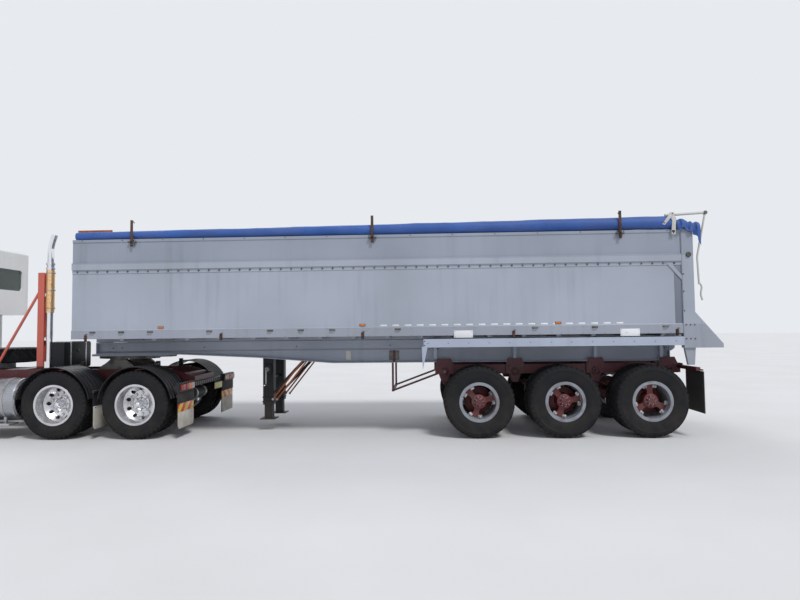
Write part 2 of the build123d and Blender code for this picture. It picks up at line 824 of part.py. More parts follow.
with BuildPart() as cab_rear:
    with BuildSketch(Plane.YZ.offset(cab_rear_x - cab_wall)):
        with Locations((0, (cab_rear_low + cab_side_top) / 2)):
            Rectangle(2 * (cab_half - cab_wall), cab_side_top - cab_rear_low)
        with Locations((-630, 2600), (630, 2600)):
            RectangleRounded(860, 390, 70, mode=Mode.SUBTRACT)
    extrude(amount=cab_wall)
write(cab_rear, "cab_rear")

with BuildPart() as cab_roof:
    with BuildSketch(Plane.XZ):
        with BuildLine():
            Line((cab_front_top_x, cab_side_top), (cab_front_top_x + 15, cab_side_top + 40))
            ThreePointArc(
                (cab_front_top_x + 15, cab_side_top + 40),
                (cab_front_top_x + 130, cab_top - 40),
                (cab_front_top_x + 400, cab_top),
            )
            Polyline(
                (cab_front_top_x + 400, cab_top),
                (cab_rear_x - 40, cab_top),
                (cab_rear_x, cab_top - 40),
                (cab_rear_x, cab_side_top),
                (cab_front_top_x, cab_side_top),
            )
        make_face()
    extrude(amount=cab_half, both=True)
    chamfer(cab_roof.edges().filter_by(Axis.X).group_by(Axis.Z)[-1], 60)
    with Locations(((cab_front_top_x + cab_rear_x) / 2 + 90, 0, cab_side_top)):
        Box(
            cab_rear_x - cab_front_top_x - 360,
            2 * (cab_half - cab_wall - 60),
            cab_top - cab_side_top - cab_wall,
            align=(Align.CENTER, Align.CENTER, Align.MIN),
            mode=Mode.SUBTRACT,
        )
write(cab_roof, "cab_roof")

floor_half = cab_half - cab_wall
with BuildPart() as cab_floor:
    with BuildSketch(Plane.XZ):
        Polygon(
            (side_front_x, cab_floor_z),
            (-5300, cab_floor_z),
            (-5300, cab_rear_low),
            (cab_rear_x - cab_wall, cab_rear_low),
            (cab_rear_x - cab_wall, cab_rear_low + cab_wall),
            (-5350, cab_rear_low + cab_wall),
            (-5350, cab_floor_z + cab_wall),
            (side_front_x, cab_floor_z + cab_wall),
            align=None,
        )
    extrude(amount=floor_half, both=True)
    for side in (-1, 1):
        with Locations(((door_front_x + door_rear_x) / 2, side * floor_half, cab_floor_z - 1)):
            Box(
                door_rear_x - door_front_x + 20,
                2 * door_gap,
                cab_wall + 2,
                align=(Align.CENTER, Align.CENTER, Align.MIN),
                mode=Mode.SUBTRACT,
            )
write(cab_floor, "cab_floor")

# Doors with their windows cut, a mirror on two arms and an outside handle
with BuildPart() as door:
    with BuildSketch(Plane.XZ.offset(cab_half - cab_wall)):
        door_outline(door_gap)
        Polygon(
            (door_front_x + 110, 2010),
            (door_front_x + 110 + screen_slope * 770, 2780),
            (door_rear_x - 90, 2780),
            (door_rear_x - 90, 2010),
            align=None,
            mode=Mode.SUBTRACT,
        )
    extrude(amount=cab_wall)
    for hinge_z in (1350, 1850):
        with Locations((door_hinge_x, -door_hinge_y, hinge_z)):
            Cylinder(door_hinge_r, 110)
    for arm_x, arm_z in ((door_front_x + 90, 2085), (door_front_x + 240, 2815)):
        with Locations((arm_x, -cab_half, arm_z)):
            Box(30, 120, 24, align=(Align.CENTER, Align.MAX, Align.CENTER))
    with BuildSketch(Plane.XZ.offset(cab_half + 60)):
        Polygon(
            (door_front_x + 55, 2060),
            (door_front_x + 125, 2060),
            (door_front_x + 285, 2840),
            (door_front_x + 215, 2840),
            align=None,
        )
    extrude(amount=190)
    with Locations((door_rear_x - 120, -cab_half - 12, 1800)):
        Box(150, 24, 40)
for side_name, side in SIDES:
    with BuildPart() as door_piece:
        add(door.part)
        if side > 0:
            mirror(about=Plane.XZ, mode=Mode.REPLACE)
    write(door_piece, f"cab_door_{side_name}")

# Inside the cab: dashboard, steering wheel on the right, two seats and a bunk
with BuildPart() as cab_interior:
    with BuildSketch(Plane.XZ):
        Polygon(
            (side_front_x, cab_floor_z + cab_wall),
            (side_front_x, 1960),
            (-6800, 1990),
            (-6700, 1900),
            (-6760, 1750),
            (-6900, cab_floor_z + cab_wall),
            align=None,
        )
    extrude(amount=floor_half - 10, both=True)
    for seat_y in (-640, 640):
        with BuildSketch(Plane.XZ.offset(-seat_y)):
            Polygon(
                (-6250, cab_floor_z + cab_wall),
                (-6300, 1850),
                (-6290, 1960),
                (-5830, 1930),
                (-5720, 2650),
                (-5600, 2650),
                (-5700, 1840),
                (-5800, 1780),
                (-5850, cab_floor_z + cab_wall),
                align=None,
            )
        extrude(amount=250, both=True)
    with Locations(Location((-6600, 640, 2010), (0, -35, 0))):
        Torus(215, 16)
    with Locations(Location((-6600, 640, 2010), (0, -35, 0))):
        Cylinder(26, 200, align=(Align.CENTER, Align.CENTER, Align.MAX))
        Box(430, 40, 20)
    with Locations(((-5350 + cab_rear_x - cab_wall) / 2, 0, cab_rear_low + cab_wall)):
        Box(500, 2 * floor_half - 20, 130, align=(Align.CENTER, Align.CENTER, Align.MIN))
write(cab_interior, "cab_interior")

# Trailer frame: two tapered I-beams, cross members, coupler plate, kingpin and hoist cradle
BEAM_OUTLINE = (
    (beam_front_x, beam_top),
    (tip_hinge_x, beam_top),
    (tip_hinge_x, beam_low),
    (1500, beam_low),
    (300, 1170),
    (-1300, beam_nose_low),
    (beam_front_x, beam_nose_low),
)
trailer_cross_x = (-1700, -900, 0, 900, 1800, 2700, 3600, 4500, 5400, 6300)
kingpin_r = 25.4
with BuildPart() as trailer_frame:
    for side in (-1, 1):
        with BuildSketch(Plane.XZ.offset(-side * beam_y)):
            Polygon(*BEAM_OUTLINE, align=None)
        extrude(amount=beam_flange_w / 2, both=True)
        for face in (-1, 1):
            with BuildSketch(Plane.XZ.offset(-side * beam_y + face * beam_flange_w / 2)):
                Polygon(*BEAM_OUTLINE, align=None)
                offset(amount=-beam_plate, kind=Kind.INTERSECTION, mode=Mode.REPLACE)
            extrude(amount=-face * (beam_flange_w - beam_plate) / 2, mode=Mode.SUBTRACT)
    for cross_x in trailer_cross_x:
        with Locations((cross_x, 0, 1345)):
            Box(70, 2 * beam_y, 90)
    with Locations((beam_front_x + 550, 0, beam_nose_low - coupler_plate)):
        Box(1240, 1120, coupler_plate, align=(Align.CENTER, Align.CENTER, Align.MIN))
    with Locations((kingpin_x, 0, beam_nose_low - coupler_plate)):
        Cylinder(kingpin_r, 84, align=(Align.CENTER, Align.CENTER, Align.MAX))
    # Cradle for the foot of the hoist, reaching ahead of the beams
    for side in (-1, 1):
        with BuildSketch(Plane.XZ.offset(-side * hoist_plate_y)):
            Polygon(
                (hoist_x - 70, 1235),
                (hoist_x - 70, 1340),
                (hoist_x + 70, 1370),
                (beam_front_x + 120, beam_top - 20),
                (beam_front_x + 120, 1235),
                align=None,
            )
            with Locations((hoist_x, hoist_base_z)):
                Circle(hoist_pin_r + bearing_gap, mode=Mode.SUBTRACT)
        extrude(amount=12, both=True)
    with Locations((beam_front_x + 90, 0, 1345)):
        Box(60, 2 * beam_y, 150)
    # Bush for the tipping pin at the end of each beam
    with Locations((tip_hinge_x, -beam_y, tip_hinge_z), (tip_hinge_x, beam_y, tip_hinge_z)):
        Cylinder(75, 110, rotation=(90, 0, 0))
    with Locations((tip_hinge_x, 0, tip_hinge_z)):
        Cylinder(tip_pin_r + bearing_gap, 1300, rotation=(90, 0, 0), mode=Mode.SUBTRACT)
write(trailer_frame, "trailer_frame")

# Running gear frame: rails, spring hangers, spare carrier and the tail bar
hanger_x = (trailer_axles_x[0] - 480, 4355, 5595, trailer_axles_x[2] + 480)
hanger_top = 1132
rail_z = (890, 1035)
carrier_x, carrier_low = 2440, 620
with BuildPart() as running_gear:
    for side in (-1, 1):
        with Locations(((3160 + 6890) / 2, side * beam_y, rail_z[0])):
            Box(3730, 110, rail_z[1] - rail_z[0], align=(Align.CENTER, Align.CENTER, Align.MIN))
        for hanger in hanger_x:
            with Locations((hanger + 20, side * beam_y, rail_z[1])):
                Box(160, 130, beam_low - rail_z[1], align=(Align.CENTER, Align.CENTER, Align.MIN))
            with BuildSketch(Plane.XZ.offset(-side * beam_y)):
                Polygon(
                    (hanger - 90, rail_z[0]),
                    (hanger + 90, rail_z[0]),
                    (hanger + 45, 760),
                    (hanger - 45, 760),
                    align=None,
                )
            extrude(amount=60, both=True)
            with BuildSketch(Plane.XZ.offset(-side * (beam_y + 50))):
                Polygon(
                    (hanger - 145, rail_z[0]),
                    (hanger + 145, rail_z[0]),
                    (hanger + 145, rail_z[1]),
                    (hanger + 100, hanger_top),
                    (hanger - 100, hanger_top),
                    (hanger - 145, rail_z[1]),
                    align=None,
                )
            extrude(amount=-side * 34)
            with Locations((hanger, side * beam_y, beam_low)):
                Box(
                    300,
                    beam_flange_w + 4,
                    hanger_top - beam_low + 5,
                    align=(Align.CENTER, Align.CENTER, Align.MIN),
                    mode=Mode.SUBTRACT,
                )
        # Empty spare wheel carrier, hung from the beam ahead of the rails
        with Locations((carrier_x, side * beam_y, carrier_low)):
            Box(30, 60, beam_low - carrier_low, align=(Align.CENTER, Align.CENTER, Align.MIN))
        with BuildSketch(Plane.XZ.offset(-side * beam_y)):
            Polygon(
                (carrier_x, carrier_low),
                (carrier_x, carrier_low + 30),
                (3175, 920),
                (3175, 890),
                align=None,
            )
        extrude(amount=25, both=True)
    with Locations((carrier_x, 0, carrier_low + 15)):
        Box(40, 2 * beam_y, 30)
    with Locations((6860, 0, 985)):
        Box(60, 2 * half_width - 20, 50)
    with Locations((4355, 0, 960)):
        Box(90, 2 * beam_y, 80)
    with Locations((5595, 0, 960)):
        Box(90, 2 * beam_y, 80)
    # Axle tubes with spindles, and leaf springs that hang between the hangers
    for axle_x in trailer_axles_x:
        with Locations((axle_x, 0, trailer_tyre_r)):
            Cylinder(64, 2 * (twin_y - 175), rotation=(90, 0, 0))
            Cylinder(spindle_r, 2 * (twin_y + 60), rotation=(90, 0, 0))
        for side in (-1, 1):
            with BuildSketch(Plane.XZ.offset(-side * beam_y)):
                with BuildLine():
                    ThreePointArc((axle_x - 500, 752), (axle_x, 660), (axle_x + 500, 752))
                    Line((axle_x + 500, 752), (axle_x + 500, 732))
                    ThreePointArc((axle_x + 500, 732), (axle_x, 585), (axle_x - 500, 732))
                    Line((axle_x - 500, 732), (axle_x - 500, 752))
                make_face()
            extrude(amount=40, both=True)
            with Locations((axle_x, side * beam_y, 590)):
                Box(130, 110, 110)
write(running_gear, "running_gear")

# Landing legs: tubes with sand shoes between the beams, a cross shaft and braces
leg_x, leg_y = 420, 345
leg_low, shoe_z = 410, 180
with BuildPart() as landing_legs:
    for side in (-1, 1):
        with Locations((leg_x, side * leg_y, leg_low)):
            Box(170, 150, 1290 - leg_low, align=(Align.CENTER, Align.CENTER, Align.MIN))
        with Locations((leg_x, side * leg_y, shoe_z)):
            Box(130, 120, leg_low - shoe_z, align=(Align.CENTER, Align.CENTER, Align.MIN))
            Box(250, 240, 14, align=(Align.CENTER, Align.CENTER, Align.MIN))
        with BuildSketch(Plane.XZ.offset(-side * (leg_y + 60))):
            Polygon((leg_x + 70, 560), (leg_x + 70, 610), (1010, 1160), (1050, 1130), align=None)
        extrude(amount=15, both=True)
    with Locations((leg_x, 0, 830)):
        Cylinder(25, 2 * leg_y, rotation=(90, 0, 0))
    with Locations((leg_x, 0, 1255)):
        Box(150, 2 * beam_y - beam_plate, 60)
    with Locations((1030, 0, 1170)):
        Box(60, 2 * beam_y - beam_plate, 70)
write(landing_legs, "landing_legs")

# Wheel guards: a flat plate with a skirt over the trailer wheels, a front gusset and a mud flap
guard_front_x, guard_rear_x = 2935, 6655
guard_out, guard_in = 1290, 640
with BuildPart() as wheel_guards:
    for side in (-1, 1):
        with BuildSketch(Plane.YZ.offset(guard_front_x)):
            Polygon(
                (side * guard_out, 1330),
                (side * guard_out, 1452),
                (side * guard_in, 1452),
                (side * guard_in, 1444),
                (side * (guard_out - 8), 1444),
                (side * (guard_out - 8), 1330),
                align=None,
            )
        extrude(amount=guard_rear_x - guard_front_x)
        with BuildSketch(Plane.XZ.offset(-side * (guard_out - 8))):
            Polygon((2910, 1340), (2995, 1340), (2920, 1000), align=None)
        extrude(amount=-side * 8)
        for arm_x in (3115, 4355, 5595, 6600):
            with Locations((arm_x, side * (beam_y + beam_flange_w / 2 + guard_out - 8) / 2, 1425)):
                Box(50, guard_out - 8 - beam_y - beam_flange_w / 2, 38)
            with Locations((arm_x, side * (beam_y + beam_flange_w / 2 + 8), hanger_top)):
                Box(50, 16, 1444 - hanger_top, align=(Align.CENTER, Align.CENTER, Align.MIN))
        with Locations((6930, side * 942, 650)):
            Box(8, 585, 600)
        with Locations((6908, side * 942, 970)):
            Box(36, 585, 20)
write(wheel_guards, "wheel_guards")

# Tub floor: sheet, runners that lie on the beams, bearers, tail chute and the tipping pin
chute_tip_z = 1290
floor_half_y = half_width - tub_wall
post_inner_y = half_width - 75
bearers_x = tuple(range(-1600, 6401, 500))
with BuildPart() as tub_floor:
    with BuildSketch(Plane.XY.offset(tub_low + 10)):
        Polygon(
            (tub_front_x + tub_wall, -floor_half_y),
            (tub_front_x + tub_wall, -recess_half - recess_wall),
            (tub_front_x + recess_depth + recess_wall, -recess_half - recess_wall),
            (tub_front_x + recess_depth + recess_wall, recess_half + recess_wall),
            (tub_front_x + tub_wall, recess_half + recess_wall),
            (tub_front_x + tub_wall, floor_half_y),
            (tub_post_x, floor_half_y),
            (tub_post_x, post_inner_y),
            (tub_post_x + tub_post_w, post_inner_y),
            (tub_post_x + tub_post_w, -post_inner_y),
            (tub_post_x, -post_inner_y),
            (tub_post_x, -floor_half_y),
            align=None,
        )
    extrude(amount=tub_floor_t)
    with Locations((tub_post_x, 0, tub_low + 10 + tub_floor_t - 3)):
        Box(tub_post_w, 2 * half_width, 3, align=(Align.MIN, Align.CENTER, Align.MIN), mode=Mode.SUBTRACT)
    with BuildSketch(Plane.XZ):
        Polygon(
            (tub_post_x + tub_post_w, tub_low - 20),
            (tub_post_x + tub_post_w, tub_low + 7 + tub_floor_t),
            (rear_x - 5, chute_tip_z + 25),
            (rear_x - 5, chute_tip_z + 2),
            align=None,
        )
    extrude(amount=half_width, both=True)
    for side in (-1, 1):
        with Locations(((tub_front_x + 6600) / 2, side * beam_y, runner_low)):
            Box(
                6600 - tub_front_x,
                120,
                tub_low + 10 - runner_low,
                align=(Align.CENTER, Align.CENTER, Align.MIN),
            )
        with BuildSketch(Plane.XZ.offset(-side * 590)):
            Polygon(
                (6640, tub_low + 10), (6830, tub_low + 10), (6790, 1260), (6680, 1260), align=None
            )
        extrude(amount=14, both=True)
    for bearer_x in bearers_x:
        with Locations((bearer_x, 0, 1470)):
            Box(60, 2 * floor_half_y, tub_low + 10 - 1470, align=(Align.CENTER, Align.CENTER, Align.MIN))
    with Locations((tip_hinge_x, 0, tip_hinge_z)):
        Cylinder(tip_pin_r, 1240, rotation=(90, 0, 0))
write(tub_floor, "tub_floor")

# Tub sides: wall with its rails, rear post and the plate beside the tail chute
mid_rail = (2540, 2650)
low_rail = (tub_low, 1630)
wedge_reach = 21
with BuildPart() as tub_sides:
    for side in (-1, 1):
        outer, inner = side * half_width, side * (half_width - tub_wall)
        with BuildSketch(Plane.YZ.offset(tub_front_x)):
            Polygon(
                (inner, tub_low),
                (outer + side * 14, low_rail[0]),
                (outer + side * 14, low_rail[1]),
                (outer, low_rail[1] + 12),
                (outer, mid_rail[0] - 60),
                (outer + side * 8, mid_rail[0] - 56),
                (outer + side * 8, mid_rail[0]),
                (outer + side * 28, mid_rail[0]),
                (outer + side * 28, mid_rail[1] - 8),
                (outer, mid_rail[1]),
                (outer, tub_top - 45),
                (outer + side * 10, tub_top - 40),
                (outer + side * 10, tub_top),
                (inner - side * 35, tub_top),
                (inner - side * 35, tub_top - 70),
                (inner, tub_top - 95),
                align=None,
            )
        extrude(amount=tub_post_x - tub_front_x)
        with Locations((tub_post_x + tub_post_w / 2, side * (half_width - 30), 1290)):
            Box(tub_post_w, 90, 1720, align=(Align.CENTER, Align.CENTER, Align.MIN))
        with BuildSketch(Plane.XZ.offset(-side * half_width)):
            Polygon(
                (tub_post_x, chute_tip_z),
                (tub_post_x, 1830),
                (tub_post_x + tub_post_w, 1800),
                (rear_x, 1345),
                (rear_x, chute_tip_z),
                align=None,
            )
        extrude(amount=-side * wedge_reach)
        # Tapered bracket under the post
        with BuildSketch(Plane.XZ.offset(-side * (half_width - 60))):
            Polygon(
                (tub_post_x + 15, chute_tip_z + 5),
                (tub_post_x + tub_post_w, chute_tip_z + 5),
                (tub_post_x + tub_post_w - 20, 1045),
                (tub_post_x + 60, 1045),
                align=None,
            )
        extrude(amount=-side * 55)
        # Diagonal brace between the mid rail and the post
        with BuildSketch(Plane.XZ.offset(-side * (half_width + 1))):
            Polygon(
                (tub_post_x - 220, mid_rail[0] - 20),
                (tub_post_x - 150, mid_rail[0] - 20),
                (tub_post_x + 20, mid_rail[0] - 230),
                (tub_post_x + 20, mid_rail[0] - 300),
                align=None,
            )
        extrude(amount=-side * 12)
    # Header between the posts, above the gate
    with Locations((6745, 0, 2690)):
        Box(80, 2 * (half_width - 70), 310, align=(Align.CENTER, Align.CENTER, Align.MIN))
write(tub_sides, "tub_sides")

# Tub front wall with the recess that the hoist leans into, and the two eye lugs
with BuildPart() as tub_front:
    with BuildSketch(Plane.YZ.offset(tub_front_x)):
        Polygon(
            (-floor_half_y, tub_low + 10),
            (-floor_half_y, tub_top - 95),
            (35 - floor_half_y, tub_top - 70),
            (35 - floor_half_y, tub_top),
            (floor_half_y - 35, tub_top),
            (floor_half_y - 35, tub_top - 70),
            (floor_half_y, tub_top - 95),
            (floor_half_y, tub_low + 10),
            align=None,
        )
        with Locations((0, (tub_low + recess_top) / 2)):
            Rectangle(2 * recess_half, recess_top - tub_low, mode=Mode.SUBTRACT)
    extrude(amount=tub_wall)
    with BuildSketch(Plane.XY.offset(tub_low + 10)):
        with Locations((tub_front_x, 0)):
            Rectangle(
                recess_depth + recess_wall, 2 * (recess_half + recess_wall), align=(Align.MIN, Align.CENTER)
            )
            Rectangle(recess_depth, 2 * recess_half, align=(Align.MIN, Align.CENTER), mode=Mode.SUBTRACT)
    extrude(amount=recess_top - tub_low - 10)
    with Locations((tub_front_x, 0, recess_top)):
        Box(
            recess_depth + recess_wall,
            2 * (recess_half + recess_wall),
            tub_top - recess_top,
            align=(Align.MIN, Align.CENTER, Align.MIN),
        )
    for side in (-1, 1):
        with BuildSketch(Plane.XZ.offset(-side * lug_inner_y)):
            Polygon(
                (tub_front_x + 30, hoist_eye_z - 130),
                (hoist_x - 30, hoist_eye_z - 45),
                (hoist_x - 45, hoist_eye_z),
                (hoist_x - 30, hoist_eye_z + 40),
                (tub_front_x + 30, tub_top),
                align=None,
            )
            with Locations((hoist_x, hoist_eye_z)):
                Circle(24, mode=Mode.SUBTRACT)
        extrude(amount=-side * (recess_half + recess_wall - lug_inner_y))
write(tub_front, "tub_front")

# Tailgate: a sheet with ribs that hangs from pins in the rear posts
gate_half = half_width - 85
gate_low, gate_top = 1560, 2610
with BuildPart() as tailgate:
    with Locations((6730, 0, (gate_low + gate_top) / 2)):
        Box(40, 2 * gate_half, gate_top - gate_low)
    for rib_y in (-gate_half + 40, -gate_half / 2, 0, gate_half / 2, gate_half - 40):
        with Locations((6765, rib_y, (gate_low + gate_top) / 2)):
            Box(40, 70, gate_top - gate_low)
    for rib_z in (gate_low + 35, (gate_low + gate_top) / 2, gate_top - 35):
        with Locations((6765, 0, rib_z)):
            Box(40, 2 * gate_half, 60)
    for side in (-1, 1):
        with Locations((6772, side * (gate_half - 40), gate_top - 20)):
            Box(54, 60, gate_hinge_z - gate_top + 45, align=(Align.CENTER, Align.CENTER, Align.MIN))
        with Locations((gate_hinge_x, side * (gate_half - 40), gate_hinge_z)):
            Cylinder(32, 80, rotation=(90, 0, 0))
write(tailgate, "tailgate")

# Rolled cover on the left-hand wall, with its stakes, end pole and crank rod
roll_front_r, roll_rear_r = 55, 88
roll_y = -half_width + 45
stake_y, stake_t = -half_width - 50, 12
stakes_x = (-1420, 2200, 5800)
with BuildPart() as tarp_roll:
    with BuildSketch(Plane.YZ.offset(tub_front_x + 40)):
        with Locations((roll_y, tub_top + roll_front_r)):
            Circle(roll_front_r)
    with BuildSketch(Plane.YZ.offset(tub_post_x - 60)):
        with Locations((roll_y, tub_top + roll_rear_r)):
            Circle(roll_rear_r)
    loft()
    for stake_x in stakes_x:
        with Locations((stake_x, stake_y, 2880)):
            Box(40, stake_t, 400, align=(Align.CENTER, Align.CENTER, Align.MIN))
        with Locations((stake_x, stake_y, tub_top - 25)):
            Box(40, -half_width - 10 - stake_y, 30, align=(Align.CENTER, Align.MIN, Align.CENTER))
    with BuildLine() as crank_line:
        FilletPolyline(
            (tub_post_x - 80, roll_y, tub_top + roll_rear_r),
            (tub_post_x + 270, roll_y, tub_top + roll_rear_r),
            (tub_post_x + 235, roll_y - 40, 1745),
            radius=60,
        )
    with BuildSketch(Plane(origin=crank_line.wires()[0] @ 0, z_dir=crank_line.wires()[0] % 0)):
        Circle(14)
    sweep(path=crank_line.wires()[0])
write(tarp_roll, "tarp_roll")

# Telescopic hoist: a barrel on a foot pin and five stages that slide out of one another
barrel_bore = barrel_r - barrel_wall
with BuildPart() as hoist_barrel:
    with BuildSketch(Plane.XY.offset(hoist_base_z + 70)):
        with Locations((hoist_x, 0)):
            Circle(barrel_r)
            Circle(barrel_bore, mode=Mode.SUBTRACT)
    extrude(amount=barrel_length - 70)
    with BuildSketch(Plane.XY.offset(hoist_base_z + 50)):
        with Locations((hoist_x, 0)):
            Circle(82)
    extrude(amount=30)
    with BuildSketch(Plane.XY.offset(hoist_base_z + 66)):
        with Locations((hoist_x, 0)):
            Circle(barrel_r)
    extrude(amount=14)
    with Locations((hoist_x, 0, hoist_base_z)):
        Cylinder(52, 2 * (hoist_plate_y - 16), rotation=(90, 0, 0))
        Cylinder(hoist_pin_r, 2 * (hoist_plate_y + 20), rotation=(90, 0, 0))
    with Locations((hoist_x, 0, hoist_base_z + 35)):
        Box(90, 180, 60)
write(hoist_barrel, "hoist_barrel")

for stage in range(1, hoist_stage_count + 1):
    outer_r = barrel_bore - stage_gap - (stage - 1) * (stage_wall + stage_gap)
    low = hoist_base_z + stage_lift + stage * 8
    top = hoist_base_z + barrel_length + stage * stage_step
    with BuildPart() as hoist_stage:
        with BuildSketch(Plane.XY.offset(low)):
            with Locations((hoist_x, 0)):
                Circle(outer_r)
                if stage < hoist_stage_count:
                    Circle(outer_r - stage_wall, mode=Mode.SUBTRACT)
        extrude(amount=top - low)
        if stage == hoist_stage_count:
            with Locations((hoist_x, 0, hoist_eye_z)):
                Cylinder(44, 120, rotation=(90, 0, 0))
            with Locations((hoist_x, 0, top - 10)):
                Box(60, 90, hoist_eye_z - top, align=(Align.CENTER, Align.CENTER, Align.MIN))
    write(hoist_stage, f"hoist_stage_{stage}")
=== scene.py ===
"""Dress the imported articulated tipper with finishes, tyres, cover, lamps, glass and a studio."""

from __future__ import annotations

import json
import logging
import math
from dataclasses import dataclass
from enum import Enum
from typing import Callable, ClassVar, Iterable, Sequence

import bmesh
import bpy
from mathutils import Matrix, Vector, noise

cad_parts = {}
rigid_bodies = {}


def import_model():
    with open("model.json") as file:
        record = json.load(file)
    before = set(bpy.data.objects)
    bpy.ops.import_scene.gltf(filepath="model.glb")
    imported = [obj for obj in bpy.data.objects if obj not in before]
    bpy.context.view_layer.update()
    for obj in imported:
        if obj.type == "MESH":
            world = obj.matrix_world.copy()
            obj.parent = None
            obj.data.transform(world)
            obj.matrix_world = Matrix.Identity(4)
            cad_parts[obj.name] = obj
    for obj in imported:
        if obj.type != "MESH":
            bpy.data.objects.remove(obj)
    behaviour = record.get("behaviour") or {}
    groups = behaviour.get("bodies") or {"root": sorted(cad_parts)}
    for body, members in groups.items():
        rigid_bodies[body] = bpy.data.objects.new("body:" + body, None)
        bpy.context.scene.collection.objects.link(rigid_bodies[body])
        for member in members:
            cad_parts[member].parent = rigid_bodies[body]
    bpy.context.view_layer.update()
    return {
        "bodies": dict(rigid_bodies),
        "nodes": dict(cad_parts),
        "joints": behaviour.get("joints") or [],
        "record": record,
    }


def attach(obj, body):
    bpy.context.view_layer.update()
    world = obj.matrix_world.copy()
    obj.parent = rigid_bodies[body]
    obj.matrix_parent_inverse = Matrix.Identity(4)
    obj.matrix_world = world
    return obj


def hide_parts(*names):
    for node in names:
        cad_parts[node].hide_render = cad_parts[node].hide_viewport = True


log = logging.getLogger("tipper")

Point = Sequence[float]
Colour = tuple[float, ...]
Socket = bpy.types.NodeSocket
Tint = Colour | Socket
Outline = Sequence[tuple[float, float]]
Sockets = dict[str, Socket]
Shape = bmesh.types.BMesh

AHEAD, BACK = (-1, 0, 0), (1, 0, 0)
OUT, ACROSS = (0, -1, 0), (0, 1, 0)
UP = (0, 0, 1)


class Side(Enum):
    """The two sides of the rig, by the sign of Y."""

    LEFT = -1
    RIGHT = 1


class Axis(Enum):
    """An axis of the row frame, by its index."""

    X = 0
    Y = 1
    Z = 2


# Node graphs


class Graph:
    """A node tree with short calls that add nodes, set their sockets and link them."""

    def __init__(self, tree: bpy.types.NodeTree) -> None:
        """Keep the tree of a material, group or world."""
        self.tree = tree

    def feed(self, node: bpy.types.Node, inputs: dict) -> None:
        """Set some of a node's sockets.

        Args:
            node: The node.
            inputs: Socket names or numbers, each with a value or with the socket that feeds it.
        """
        for name, value in inputs.items():
            socket = node.inputs[name]
            if isinstance(value, Socket):
                self.tree.links.new(value, socket)
            elif socket.type == "RGBA":
                socket.default_value = (*value[:3], 1.0)
            else:
                socket.default_value = value

    def add(self, kind: str, inputs: dict | None = None, **settings: object) -> bpy.types.Node:
        """Add a node.

        Args:
            kind: The node's type, without its ShaderNode prefix.
            inputs: What feed takes.
            settings: Properties of the node.

        Returns:
            The new node.
        """
        node = self.tree.nodes.new("ShaderNode" + kind)
        for name, value in settings.items():
            setattr(node, name, value)
        self.feed(node, inputs or {})
        return node

    def math(self, operation: str, first: float | Socket, second: float | Socket = 0.0) -> Socket:
        """Return the result of a maths node, not held to any range."""
        return self.add("Math", {0: first, 1: second}, operation=operation).outputs[0]

    def times(self, first: float | Socket, second: float | Socket) -> Socket:
        """Return the product of two values."""
        return self.math("MULTIPLY", first, second)

    def blend(self, share: float | Socket, first: Tint, second: Tint) -> Socket:
        """Return the mix of two colours."""
        return self.add("Mix", {0: share, 6: first, 7: second}, data_type="RGBA").outputs[2]

    def tone(self, value: float, tint: Tint) -> Socket:
        """Return a colour made darker."""
        return self.add("HueSaturation", {"Value": value, "Color": tint}).outputs[0]

    def span(
        self, value: Socket, low: float | Socket, high: float | Socket, to: tuple = (0.0, 1.0)
    ) -> Socket:
        """Return a value mapped from low..high to another span, and held inside it."""
        sockets = {"Value": value, "From Min": low, "From Max": high, "To Min": to[0]}
        return self.add("MapRange", sockets | {"To Max": to[1]}).outputs[0]

    def speckle(
        self, scale: float | Socket, detail: float = 3.0, stretch: Point | None = None
    ) -> Socket:
        """Return a noise value over the object.

        Args:
            scale: The noise's scale, in cells a metre.
            detail: The number of octaves.
            stretch: How much each axis is scaled before that, if it isn't even.

        Returns:
            The noise, from 0 to 1.
        """
        place = self.add("TexCoord").outputs["Object"]
        if stretch:
            place = self.add("Mapping", {"Vector": place, "Scale": stretch}).outputs[0]
        return self.add("TexNoise", {"Vector": place, "Scale": scale, "Detail": detail}).outputs[0]

    def along(self, axis: Axis) -> Socket:
        """Return the object's own coordinate on an axis."""
        place = self.add("TexCoord").outputs["Object"]
        return self.add("SeparateXYZ", {0: place}).outputs[axis.value]

    def bump(self, height: Socket, distance: float = 1.0, **normal: Socket) -> Socket:
        """Return the normal that a height gives, on top of a Normal if there is one."""
        return self.add("Bump", {"Height": height, "Distance": distance} | normal).outputs[0]


